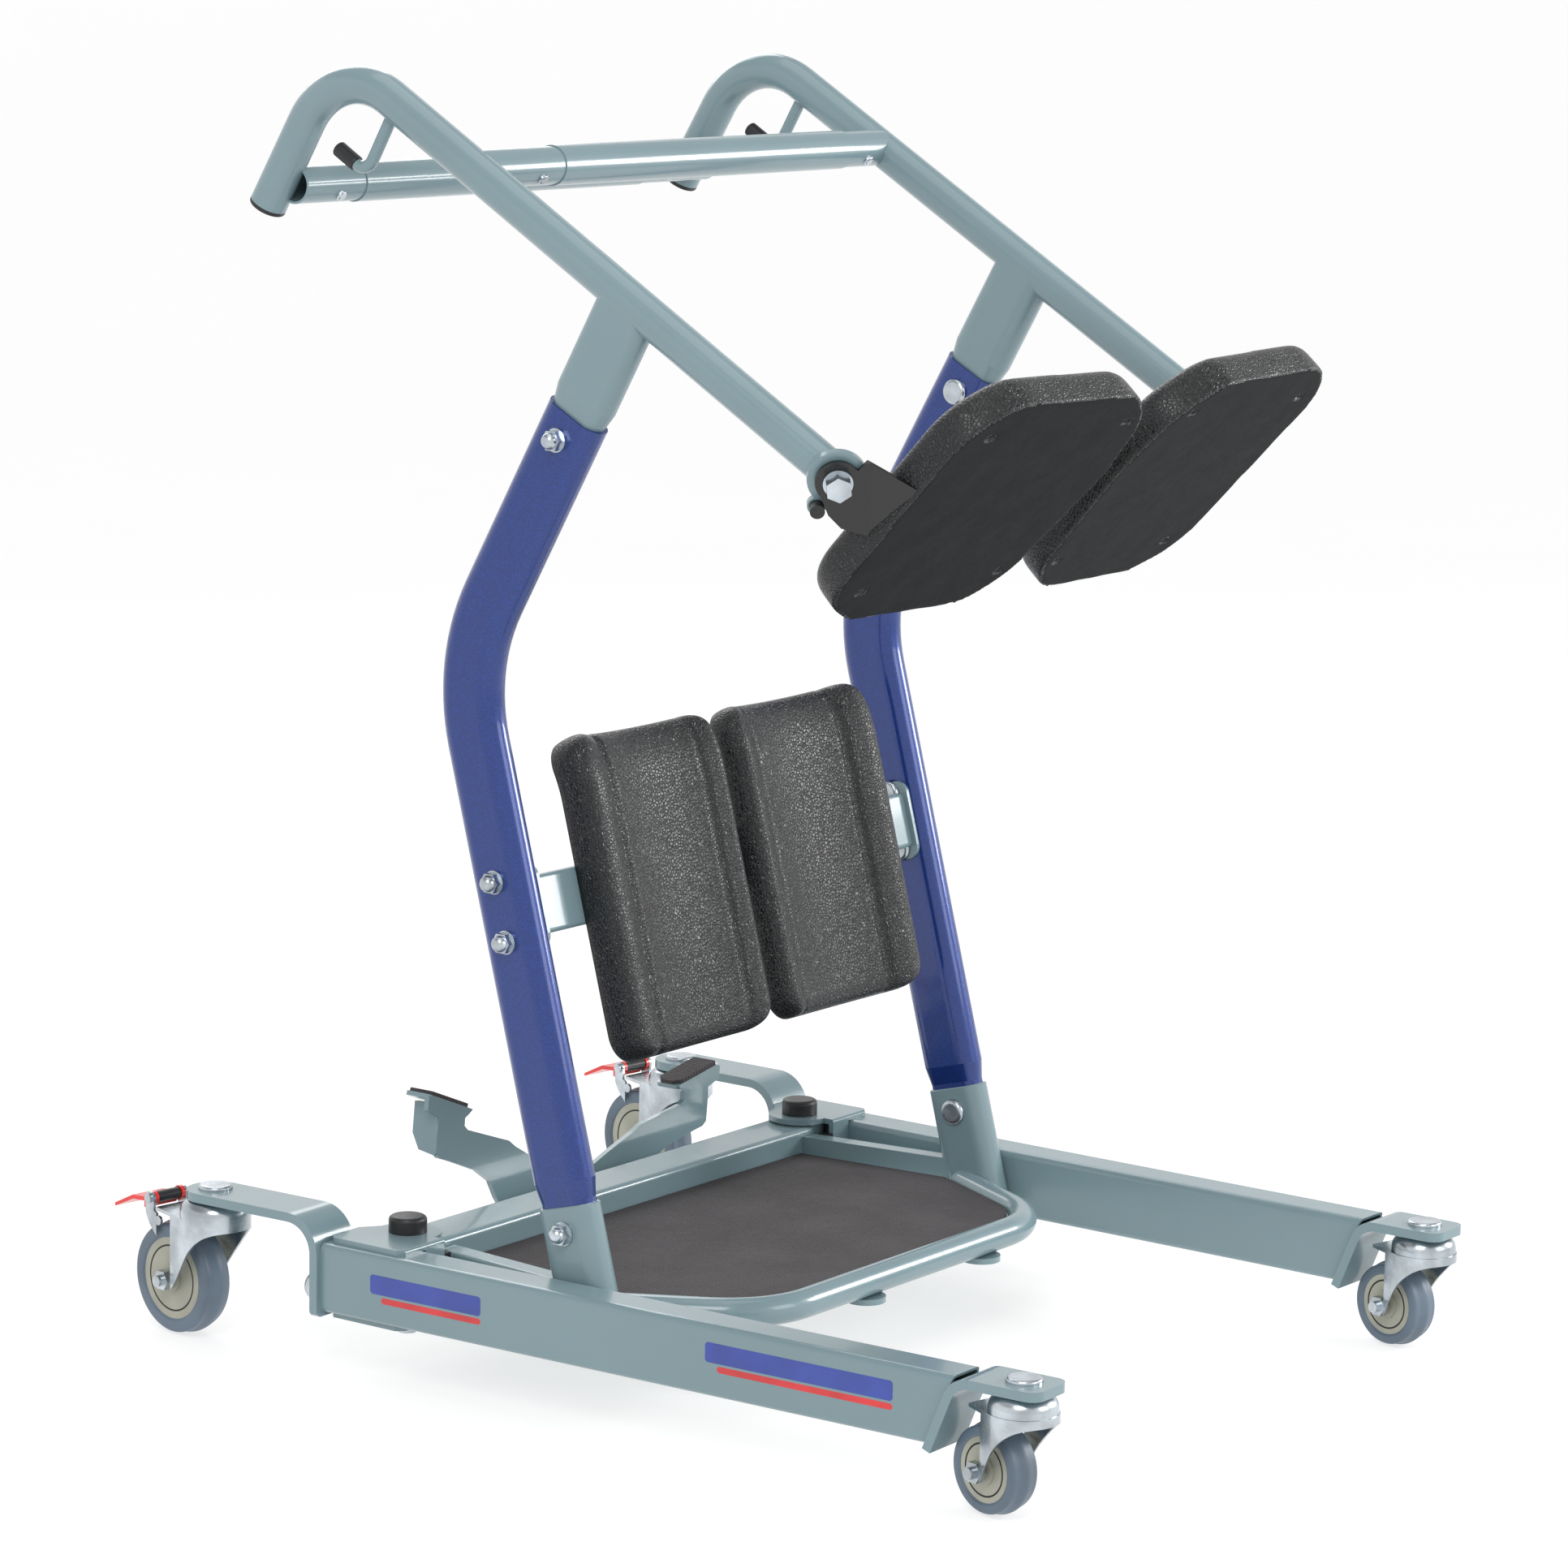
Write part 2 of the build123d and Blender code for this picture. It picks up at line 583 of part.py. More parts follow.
with BuildPart() as handle_tube:
    with BuildSketch(Plane(handle_line.line @ 0, z_dir=handle_line.line % 0)):
        Circle(HANDLE_R)
        Circle(HANDLE_R - HANDLE_WALL, mode=Mode.SUBTRACT)
    sweep(path=handle_line.line)
    split(bisect_by=mitre_plane, keep=Keep.BOTTOM)
keep(handle_tube.part, "handle_left")
keep(flip(handle_tube.part), "handle_right")

with BuildPart() as upper_socket:
    with BuildSketch(upper_plane(POST_TOP_RUN + SHOULDER)):
        oval(POST_DEEP, POST_WIDE)
    extrude(amount=110)
    add(handle_solid, mode=Mode.SUBTRACT)
    split(bisect_by=Plane(
        origin=(0, HANDLE_LOW_Y, HANDLE_LOW_Z),
        x_dir=(1, 0, 0),
        z_dir=(0, -sin(pitch), cos(pitch)),
    ), keep=Keep.BOTTOM)
    with BuildSketch(upper_plane(POST_TOP_RUN + SHOULDER)):
        oval(POST_DEEP, POST_WIDE)
    with BuildSketch(upper_plane(POST_TOP_RUN)):
        oval(INSERT_DEEP, INSERT_WIDE)
    loft()
    with BuildSketch(upper_plane(POST_TOP_RUN)):
        oval(INSERT_DEEP, INSERT_WIDE)
    extrude(amount=-55)
    with BuildSketch(Plane.YZ.offset(-POST_X)):
        with Locations((upper_bolt_y, upper_bolt_z)):
            Circle(5)
    extrude(amount=POST_WIDE, both=True, mode=Mode.SUBTRACT)
keep(both(upper_socket.part), "upper_sockets")

# black plugs in the push grips, tips on the bag hooks
tip_plane = Plane(handle_line.line @ 1, z_dir=handle_line.line % 1)
with BuildPart() as plug:
    with BuildSketch(tip_plane):
        Circle(HANDLE_R)
    extrude(amount=4)
    fillet(plug.faces().sort_by(Axis((0, 0, 0), tip_plane.z_dir))[-1].edges(), 1.5)
    with BuildSketch(tip_plane):
        Circle(HANDLE_R - HANDLE_WALL)
    extrude(amount=-18)

hook_corner, hook_tip = (48, 1014), (76, 1031)
with BuildPart() as hook:
    with BuildLine(Plane.YZ.offset(-HANDLE_X)) as hook_line:
        FilletPolyline((20.6, 1062.8), hook_corner, hook_tip, radius=12)
    with BuildSketch(Plane(hook_line.line @ 0, z_dir=hook_line.line % 0)):
        Circle(5.25)
    sweep(path=hook_line.line)
    add(handle_solid, mode=Mode.SUBTRACT)
keep(both(hook.part), "bag_hooks")

hook_end = Plane(hook_line.line @ 1, z_dir=hook_line.line % 1)
with BuildPart() as hook_cap:
    with BuildSketch(hook_end.offset(4)):
        Circle(6.7)
    extrude(amount=-24)
    fillet(hook_cap.edges().filter_by(GeomType.CIRCLE), 1.5)
    with BuildSketch(hook_end):
        Circle(5.25)
    extrude(amount=-24, mode=Mode.SUBTRACT)
keep(Compound(children=[
    pivot_cap.part, flip(pivot_cap.part), plug.part, flip(plug.part), hook_cap.part, flip(hook_cap.part),
]), "black_caps")

# crossbars between the handles, each a middle tube on two welded stubs
cross_front = (CROSS_FRONT_Y, handle_z(CROSS_FRONT_Y))


def cross_tube(at, x_low, x_high, radius, bore):
    with BuildPart() as tube:
        with BuildSketch(Plane.YZ.offset(x_low)):
            with Locations(at):
                Circle(radius)
                Circle(bore, mode=Mode.SUBTRACT)
        extrude(amount=x_high - x_low)
    return tube.part


keep(cross_tube(cross_front, -188, 222, CROSS_R, CROSS_R - 2), "crossbar_front")
keep(cross_tube(CROSS_REAR, -210, 182, CROSS_R, CROSS_R - 2), "crossbar_rear")

stubs = []
for at, low, high in ((cross_front, -188, 222), (CROSS_REAR, -210, 182)):
    for x_low, x_high in ((-HANDLE_X + 2, low), (high, HANDLE_X - 2)):
        with BuildPart() as stub:
            add(cross_tube(at, x_low, x_high, STUB_R, STUB_R - 2))
            # the part pushed inside the middle tube
            sleeve_low, sleeve_high = (high - 30, high) if x_low > 0 else (low, low + 30)
            add(cross_tube(at, sleeve_low, sleeve_high, CROSS_R - 2, STUB_R - 3))
            add(handle_solid, mode=Mode.SUBTRACT)
            add(flip(handle_solid), mode=Mode.SUBTRACT)
        stubs.append(stub.part.solids().sort_by(SortBy.VOLUME)[-1])
keep(Compound(children=stubs), "crossbar_stubs")

screws = []
for at, x in ((cross_front, -215), (cross_front, 250), (CROSS_REAR, -240), (CROSS_REAR, 215)):
    out = Vector(0, -0.8, -0.6)
    seat = Plane(origin=Vector(x, at[0], at[1]) + out * STUB_R, x_dir=(1, 0, 0), z_dir=out)
    with BuildPart() as screw:
        with BuildSketch(seat.offset(-0.6)):
            Circle(5)
        extrude(amount=3.4)
        fillet(screw.edges().filter_by(GeomType.CIRCLE).sort_by(Axis((0, 0, 0), (0, -0.8, -0.6)))[-1], 2)
        add(cross_tube(at, x - 10, x + 10, STUB_R, 1), mode=Mode.SUBTRACT)
    screws.append(screw.part)
keep(Compound(children=screws), "crossbar_screws")

# ---------------------------------------------------------------- knee rest
knee_lean = radians(LOWER_LEAN)
KNEE_FRONT = (0, -cos(knee_lean), sin(knee_lean))
knee_plane = Plane(origin=(0, KNEE_Y, KNEE_Z), x_dir=(1, 0, 0), z_dir=KNEE_FRONT)
bracket_in = POST_X - POST_WIDE / 2 - 4
with BuildPart() as knee_bar:
    with BuildSketch(Plane(origin=(-bracket_in, KNEE_Y, KNEE_Z), x_dir=LOWER_DIR, z_dir=(1, 0, 0))):
        RectangleRounded(KNEE_BAR_TALL, KNEE_BAR_DEEP, 4)
        RectangleRounded(KNEE_BAR_TALL - 2 * KNEE_WALL, KNEE_BAR_DEEP - 2 * KNEE_WALL, 2, mode=Mode.SUBTRACT)
    extrude(amount=2 * bracket_in)
    # corners cut back round the bolt heads
    for x in (-bracket_in, bracket_in - 6):
        with BuildSketch(Plane.YZ.offset(x)):
            with Locations(*knee_bolts):
                Circle(12.5)
        extrude(amount=6, mode=Mode.SUBTRACT)
keep(knee_bar.part, "knee_bar")

with BuildPart() as knee_bracket:
    with BuildSketch(Plane(origin=(-bracket_in - 4, -110, 411.5), x_dir=LOWER_DIR, z_dir=(1, 0, 0))):
        RectangleRounded(72, 46, 12)
    extrude(amount=4)
    with BuildSketch(Plane.YZ.offset(-POST_X)):
        with Locations(*knee_bolts):
            Circle(5)
    extrude(amount=POST_WIDE, both=True, mode=Mode.SUBTRACT)
keep(both(knee_bracket.part), "knee_brackets")

outer_x = POST_X + POST_WIDE / 2
inner_x = POST_X - POST_WIDE / 2
bolt_sets = [dome_bolt(-outer_x, -inner_x, lower_bolt_y, lower_bolt_z)]
bolt_sets += [dome_bolt(-outer_x, -inner_x, upper_bolt_y, upper_bolt_z)]
bolt_sets += [dome_bolt(-outer_x, -inner_x + 4, y, z) for y, z in knee_bolts]
keep(Compound(children=bolt_sets + [flip(bolt) for bolt in bolt_sets]), "frame_bolts")

# moulded knee pad: side ridges, hollow middle, top rolled back
pad_base = KNEE_BAR_DEEP / 2
pad_foot = Plane(
    origin=knee_plane.from_local_coords(Vector(0, KNEE_PAD_LOW, 0)),
    x_dir=(-1, 0, 0),
    z_dir=LOWER_DIR,
)
with BuildPart() as knee_pad:
    with BuildLine(Plane(origin=(0, KNEE_Y, KNEE_Z), x_dir=LOWER_DIR, z_dir=(1, 0, 0))) as pad_line:
        rise = Line((KNEE_PAD_LOW, 0), (KNEE_PAD_BEND, 0))
        RadiusArc(rise @ 1, (KNEE_PAD_HIGH, -KNEE_PAD_ROLL), -132)
    with BuildSketch(pad_foot):
        with BuildLine():
            crest = pad_base + KNEE_PAD_T
            Polyline((KNEE_PAD_IN, crest - 10), (KNEE_PAD_IN, pad_base), (KNEE_PAD_OUT, pad_base), (KNEE_PAD_OUT, crest - 14))
            Spline(
                (KNEE_PAD_OUT, crest - 14),
                (KNEE_PAD_OUT - 15, crest),
                (KNEE_PAD_OUT - 34, crest - 9),
                ((KNEE_PAD_IN + KNEE_PAD_OUT) / 2 + 4, pad_base + KNEE_TROUGH_T),
                (KNEE_PAD_IN + 30, crest - 10),
                (KNEE_PAD_IN + 14, crest - 4),
                (KNEE_PAD_IN, crest - 10),
                tangents=((0, 1), (0, -1)),
            )
        make_face()
    sweep(path=pad_line.line)
    with BuildSketch(knee_plane.offset(-30)):
        mid_y = (KNEE_PAD_LOW + KNEE_PAD_HIGH) / 2
        with Locations((-(KNEE_PAD_IN + KNEE_PAD_OUT) / 2, mid_y)):
            RectangleRounded(KNEE_PAD_OUT - KNEE_PAD_IN, KNEE_PAD_HIGH - KNEE_PAD_LOW, 26)
    extrude(amount=120, mode=Mode.INTERSECT)
keep(knee_pad.part, "knee_pad_left")
keep(flip(knee_pad.part), "knee_pad_right")

# ---------------------------------------------------------------- seat hinges
hinge_p = Vector(0.7071, -0.6061, -0.3642)


def hinge_plane(along):
    """Plane square to the seat hinge; local x runs inboard and forwards, local y up."""
    return Plane(origin=SEAT_PIVOT + SEAT_AXIS * along, x_dir=hinge_p, z_dir=SEAT_AXIS)


STOP_AT = (-4.6, -28.0)
with BuildPart() as boss:
    with BuildSketch(hinge_plane(0)):
        Circle(24)
        with Locations(STOP_AT):
            Circle(7.5)
        with Locations((-2.3, -18)):
            Rectangle(15, 20)
    extrude(amount=6)
    with BuildSketch(hinge_plane(0)):
        Circle(SEAT_BOLT_R)
    extrude(amount=6, mode=Mode.SUBTRACT)
keep(both(boss.part), "seat_bosses")

with BuildPart() as seat_stop:
    with BuildSketch(hinge_plane(6)):
        with Locations(STOP_AT):
            Circle(6)
    extrude(amount=10)
with BuildPart() as stop_block:
    with BuildSketch(Plane.XY.offset(85)):
        with BuildLine():
            Polyline((-274.9, -40), (-PIVOT_X + 1 + GAP, -40), (-PIVOT_X + 1 + GAP, -31), (-273.8, -31), close=True)
        make_face()
    extrude(amount=20)
stops = [seat_stop.part, flip(seat_stop.part), stop_block.part, flip(stop_block.part)]
keep(Compound(children=stops), "rubber_stops")

PLATE_LOW = 8
seat_bolt = hex_screw(hinge_plane(PLATE_LOW + 4 + GAP), 19, 11, 12, SEAT_BOLT_R, PLATE_LOW + 4 + GAP)
keep(both(seat_bolt), "seat_pivot_bolts")

# pressed seat bracket: hinge face square to the bolt, side face folded into the pad's edge
def hinge_point(across, up, along):
    return SEAT_PIVOT + hinge_p * across + hinge_plane(0).y_dir * up + SEAT_AXIS * along


crease_top = hinge_point(13.5, 26, PLATE_LOW)
crease_low = hinge_point(43, -33, PLATE_LOW)
entry_top = hinge_point(56, 27, PLATE_LOW + 18)
entry_low = hinge_point(49, -34, PLATE_LOW + 4)
side_normal = (entry_top - crease_top).cross(crease_low - crease_top)
side_plane = Plane(origin=crease_top, x_dir=entry_top - crease_top, z_dir=side_normal)
with BuildPart() as seat_bracket:
    with BuildSketch(hinge_plane(PLATE_LOW)):
        with BuildLine():
            Polyline(
                (-10, 14.5),
                (-1, 18),
                (10, 16),
                (13.5, 26),
                (20, 25),
                (43, -28),
                (43, -33),
                (20, -35.5),
                (5.5, -29),
                (-6, -17.5),
                close=True,
            )
        make_face()
        Circle(18)
        Circle(SEAT_BOLT_R + FIT, mode=Mode.SUBTRACT)
    extrude(amount=4)
    with BuildSketch(side_plane):
        with BuildLine():
            corners = [side_plane.to_local_coords(p) for p in (crease_top, entry_top, entry_low, crease_low)]
            Polyline(*[(p.X, p.Y) for p in corners], close=True)
        make_face()
    extrude(amount=-3)
keep(seat_bracket.part, "seat_bracket_left")
keep(flip(seat_bracket.part), "seat_bracket_right")

# moulded half seat: flat back, round front edge
seat_plane = Plane(origin=SEAT_CENTRE, x_dir=SEAT_OUT, z_dir=SEAT_FACE)
with BuildPart() as seat_pad:
    with BuildSketch(seat_plane) as pad_outline:
        with BuildLine():
            Polyline(
                (128, -95), (75, -124), (-75, -124), (-112, -95), (-131, 30), (-118, 95), (-80, 130), (85, 135),
                (128, 100),
                close=True,
            )
        make_face()
        fillet(pad_outline.vertices(), 55)
    extrude(amount=SEAT_PAD_T)
    fillet(seat_pad.faces().sort_by(Axis((0, 0, 0), SEAT_FACE))[-1].edges(), 12)
    add(seat_bracket.part, mode=Mode.SUBTRACT)
seat_pad_solid = seat_pad.part.solids().sort_by(SortBy.VOLUME)[-1]
keep(seat_pad_solid, "seat_pad_left")
keep(flip(seat_pad_solid), "seat_pad_right")

# ---------------------------------------------------------------- spreading pedal
rocker_plane = Plane(origin=(0, ROCKER_Y, ROCKER_Z), x_dir=(-1, 0, 0), z_dir=(0, 1, 0))
tread_low, tread_high = (150, 81), (206, 97)
tread_run = hypot(tread_high[0] - tread_low[0], tread_high[1] - tread_low[1])
tread_plane = Plane(
    origin=(-tread_low[0], ROCKER_Y, ROCKER_Z + tread_low[1]),
    x_dir=(tread_low[0] - tread_high[0], 0, tread_high[1] - tread_low[1]),
    z_dir=(tread_high[1] - tread_low[1], 0, tread_high[0] - tread_low[0]),
)
with BuildPart() as rocker_half:
    with BuildSketch(rocker_plane):
        with BuildLine():
            Polyline(
                (0, 15), (31, 18), (50, 27), (86, 43), (96, 49), (109, 52), (155, 63), (160, 67), (160, 74),
                (155, 77), (tread_low[0], tread_low[1]), tread_high, (212, 96), (212, 84), (196, 77), (197, 70),
                (197, 45), (192, 40.5), (178, 37), (138, 25), (118, 14), (107, -2), (92, -18), (84, -20), (0, -20),
                close=True,
            )
        make_face()
    extrude(amount=ROCKER_T)
    # tread folded back from the top edge
    with BuildSketch(tread_plane):
        with Locations((tread_run / 2 + 3, -TREAD_DEEP / 2)):
            RectangleRounded(tread_run + 6, TREAD_DEEP, 5)
    extrude(amount=-4)
    # outer side folded back
    with BuildSketch(Plane.YZ.offset(-197)):
        with BuildLine():
            Polyline(
                (ROCKER_Y + 1, ROCKER_Z + 43), (ROCKER_Y + 1, ROCKER_Z + 88), (ROCKER_Y + TREAD_DEEP, ROCKER_Z + 88),
                (ROCKER_Y + TREAD_DEEP, ROCKER_Z + 60), (ROCKER_Y + TREAD_DEEP - 8, ROCKER_Z + 46),
                close=True,
            )
        make_face()
    extrude(amount=4)
with BuildPart() as rocker:
    add(rocker_half.part)
    add(flip(rocker_half.part))
    with BuildSketch(rocker_plane):
        Circle(ROCKER_PIN_R + FIT)
    extrude(amount=ROCKER_T, mode=Mode.SUBTRACT)
rocker_axis = Axis((0, 0, ROCKER_Z), (0, 1, 0))
keep(rocker.part.rotate(rocker_axis, ROCKER_TILT), "pedal_rocker")

with BuildPart() as tread_pad:
    with BuildSketch(tread_plane.offset(0.1)) as tread_outline:
        with Locations((tread_run / 2 + 1, -TREAD_DEEP / 2)):
            Rectangle(tread_run + 2, TREAD_DEEP - 2)
        chamfer(tread_outline.vertices().sort_by(Axis.X)[:2], 7)
        fillet(tread_outline.vertices(), 2.5)
    extrude(amount=3.5)
    fillet(tread_pad.faces().sort_by(Axis((0, 0, 0), tread_plane.z_dir))[-1].edges(), 1)
treads = Compound(children=[tread_pad.part, flip(tread_pad.part)])
keep(treads.rotate(rocker_axis, ROCKER_TILT), "pedal_pads")


# ---------------------------------------------------------------- casters
def caster_place(shape, at, side, heading):
    """Put a caster piece drawn round the swivel axis, wheel behind on +Y, at its corner."""
    return Location((side * at[0], at[1], 0), (0, 0, -heading)) * shape


def fork(crown_r, cheek, wall, top, flat_front, rear, axle, profile, dome_r, dome_top):
    """Pressed fork: round crown over the swivel, flat cheeks beside the wheel."""
    with BuildPart() as part:
        with BuildSketch():
            with BuildSketch(mode=Mode.PRIVATE) as seed:
                Circle(crown_r)
                with Locations((0, (flat_front + rear) / 2)):
                    Rectangle(2 * cheek, rear - flat_front)
            make_hull(seed.edges())
        extrude(amount=top)
        with BuildSketch():
            with BuildSketch(mode=Mode.PRIVATE) as inner:
                Circle(crown_r - wall)
                with Locations((0, (flat_front + rear) / 2 + 20)):
                    Rectangle(2 * (cheek - wall), rear - flat_front + 40)
            make_hull(inner.edges())
        extrude(amount=top - 3, mode=Mode.SUBTRACT)
        with BuildSketch(Plane.YZ):
            with BuildLine():
                profile()
            make_face()
        extrude(amount=crown_r + 10, both=True, mode=Mode.INTERSECT)
        with BuildSketch(Plane.YZ):
            with Locations(axle):
                Circle(AXLE_R)
        extrude(amount=crown_r + 10, both=True, mode=Mode.SUBTRACT)
    with BuildPart() as race:
        with BuildSketch(Plane.XZ):
            with BuildLine():
                Polyline(
                    (CASTER_BOLT_R + FIT, top),
                    (dome_r, top),
                    (dome_r, top + 3.2),
                )
                Spline((dome_r, top + 3.2), (dome_r - 4, dome_top - 3.5), (dome_r - 13, dome_top - GAP),
                       tangents=((0, 1), (-1, 0)))
                Polyline((dome_r - 13, dome_top - GAP), (CASTER_BOLT_R + FIT, dome_top - GAP), (CASTER_BOLT_R + FIT, top))
            make_face()
        revolve(axis=Axis.Z)
    return part.part, race.part


def axle_bolt(axle, cheek, wheel_half):
    """Axle bolt across the fork with a hexagon at both ends."""
    with BuildPart() as bolt:
        with BuildSketch(Plane.YZ.offset(-cheek - 1)):
            with Locations(axle):
                Circle(AXLE_R)
        extrude(amount=2 * cheek + 2)
        for way in (-1, 1):
            with BuildSketch(Plane.YZ.offset(way * cheek)):
                with Locations(axle):
                    RegularPolygon(radius=8, side_count=6, major_radius=False)
            extrude(amount=way * 7)
        with BuildSketch(Plane.YZ.offset(-cheek - 7)):
            with Locations(axle):
                Circle(AXLE_R)
        extrude(amount=-5)
    return bolt.part


def wheel(radius, width, axle, hub_r):
    """Hub with a running bore, and the tyre round it, both across the axle."""
    half = width / 2
    shoulder = radius - 0.17 * radius
    centre = Plane(origin=(0, axle[0], axle[1]), x_dir=(0, 1, 0), z_dir=(1, 0, 0))
    with BuildPart() as hub:
        with BuildSketch(centre):
            Circle(hub_r)
        extrude(amount=half - 1.5, both=True)
        with BuildSketch(centre):
            Circle(12)
        extrude(amount=half + 0.8, both=True)
        with BuildSketch(centre):
            Circle(AXLE_R + FIT)
        extrude(amount=width, both=True, mode=Mode.SUBTRACT)
    with BuildPart() as tyre:
        with BuildSketch(Plane(origin=(0, axle[0], axle[1]), x_dir=(0, 1, 0), z_dir=(0, 0, 1))):
            with BuildLine():
                Polyline(
                    (hub_r, half - 1.5), (hub_r, -half + 1.5), (hub_r + 2, -half), (shoulder, -half),
                )
                Spline((shoulder, -half), (radius - 2, -half * 0.6), (radius, 0), (radius - 2, half * 0.6),
                       (shoulder, half), tangents=((1, 0), (-1, 0)))
                Polyline((shoulder, half), (hub_r + 2, half), (hub_r, half - 1.5))
            make_face()
        revolve(axis=Axis((0, axle[0], axle[1]), (1, 0, 0)))
    return hub.part, tyre.part


def rear_profile():
    Polyline((30, 45), (33, 42))
    Spline((33, 42), (43, 36.5), (57, 50), tangents=((0.7, -0.7), (0, 1)))
    Polyline((57, 50), (57, 112), (-34, 112), (-34, 103))
    Spline((-34, 103), (-6, 91), (12, 68), (30, 45), tangents=((1, 0.05), (0.7, -0.7)))


def front_profile():
    Polyline((18, 40), (20, 35))
    Spline((20, 35), (30, 26), (43, 38), tangents=((0.4, -0.8), (0, 1)))
    Polyline((43, 38), (43, 90), (-32, 90), (-32, 83))
    Spline((-32, 83), (-9, 75), (6, 60), (18, 40), tangents=((1, 0.05), (0.4, -0.8)))


rear_axle, front_axle = (REAR_TRAIL, REAR_R), (FRONT_TRAIL, FRONT_R)
rear_cheek, front_cheek = 19.3, 18.3
rear_fork, rear_race = fork(31, rear_cheek, 2.5, 112, 30, 57, rear_axle, rear_profile, 31, REAR_H)
front_fork, front_race = fork(29, front_cheek, 2.5, 90, 22, 43, front_axle, front_profile, 28, FRONT_H)

# ears that carry the brake roller and pedal
with BuildPart() as ear:
    for way in (-1, 1):
        with BuildSketch(Plane.YZ.offset(way * rear_cheek)):
            with BuildLine():
                Polyline((57, 106), (60.5, 108), (60, 118))
                ThreePointArc((60, 118), (66, 124), (72, 118))
                Polyline((72, 118), (71, 104), (66, 95), (57, 86), (57, 106))
            make_face()
            with Locations(BRAKE_PIVOT):
                Circle(3, mode=Mode.SUBTRACT)
        extrude(amount=-way * 2.5)
ears = ear.part.solids()
with BuildPart() as brake_pin:
    with BuildSketch(Plane.YZ.offset(-rear_cheek - 2.5)):
        with Locations(BRAKE_PIVOT):
            Circle(3)
    extrude(amount=2 * rear_cheek + 5)
    for way in (-1, 1):
        with BuildSketch(Plane.YZ.offset(way * rear_cheek)):
            with Locations(BRAKE_PIVOT, (52, 101)):
                Circle(4.2)
        extrude(amount=way * 2.4)
pins = brake_pin.part.solids()

# red pedal, its arms on the pin and the shoe tab underneath
with BuildPart() as brake:
    with BuildSketch(Plane.YZ):
        with BuildLine():
            Polyline((73, 117.5), (92, 116), (117, 104), (117, 101), (91, 112.5), (76, 113.5), (76, 108), (73, 108),
                     close=True)
        make_face()
    extrude(amount=17, both=True)
    fillet(brake.edges().filter_by(Axis.Z).group_by(Axis.Y)[-1], 1)
    with BuildSketch(Plane.YZ):
        with Locations(BRAKE_PIVOT):
            Circle(6)
        with Locations((70, 114.5)):
            Rectangle(8, 6)
    extrude(amount=16.4, both=True)
    with BuildSketch(Plane.YZ):
        with Locations(BRAKE_PIVOT):
            Circle(3 + FIT)
    extrude(amount=30, both=True, mode=Mode.SUBTRACT)
    with BuildSketch(Plane.YZ):
        with Locations(BRAKE_PIVOT):
            Circle(6.2)
    extrude(amount=13, both=True, mode=Mode.SUBTRACT)
with BuildPart() as roller:
    with BuildSketch(Plane.YZ):
        with Locations(BRAKE_PIVOT):
            Circle(5)
            Circle(3, mode=Mode.SUBTRACT)
    extrude(amount=12.6, both=True)

rear_hub, rear_tyre = wheel(REAR_R, REAR_W, rear_axle, 36)
front_hub, front_tyre = wheel(FRONT_R, FRONT_W, front_axle, 26.5)
rear_bolt_set = axle_bolt(rear_axle, rear_cheek, REAR_W / 2)
front_bolt_set = axle_bolt(front_axle, front_cheek, FRONT_W / 2)
for side, name in ((-1, "left"), (1, "right")):
    rear_group = [rear_fork, rear_race, rear_bolt_set] + list(ears) + list(pins)
    keep(Compound(children=[caster_place(p, REAR_SWIVEL, side, REAR_HEADING) for p in rear_group]),
         f"rear_fork_{name}")
    front_group = [front_fork, front_race, front_bolt_set]
    keep(Compound(children=[caster_place(p, FRONT_SWIVEL, side, FRONT_HEADING) for p in front_group]),
         f"front_fork_{name}")
    keep(caster_place(rear_hub, REAR_SWIVEL, side, REAR_HEADING), f"rear_hub_{name}")
    keep(caster_place(rear_tyre, REAR_SWIVEL, side, REAR_HEADING), f"rear_tyre_{name}")
    keep(caster_place(front_hub, FRONT_SWIVEL, side, FRONT_HEADING), f"front_hub_{name}")
    keep(caster_place(front_tyre, FRONT_SWIVEL, side, FRONT_HEADING), f"front_tyre_{name}")
    keep(caster_place(brake.part, REAR_SWIVEL, side, REAR_HEADING), f"brake_pedal_{name}")
    keep(caster_place(roller.part, REAR_SWIVEL, side, REAR_HEADING), f"brake_roller_{name}")

# ---------------------------------------------------------------- write the pieces
# each solid is moved by itself, so that no file holds a transform inside another
for label, shape in pieces.items():
    solids = [solid.moved(Location((-ORIGIN_X, -ORIGIN_Y, 0))) for solid in shape.solids()]
    placed = solids[0] if len(solids) == 1 else Compound(solids)
    placed.label = label
    export_step(placed, f"parts/{label}.step")
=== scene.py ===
"""Looks of the sit to stand lift: materials, moulded pads and small parts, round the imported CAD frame."""

import json
import math

import bmesh
import bpy
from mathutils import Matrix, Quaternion, Vector, noise


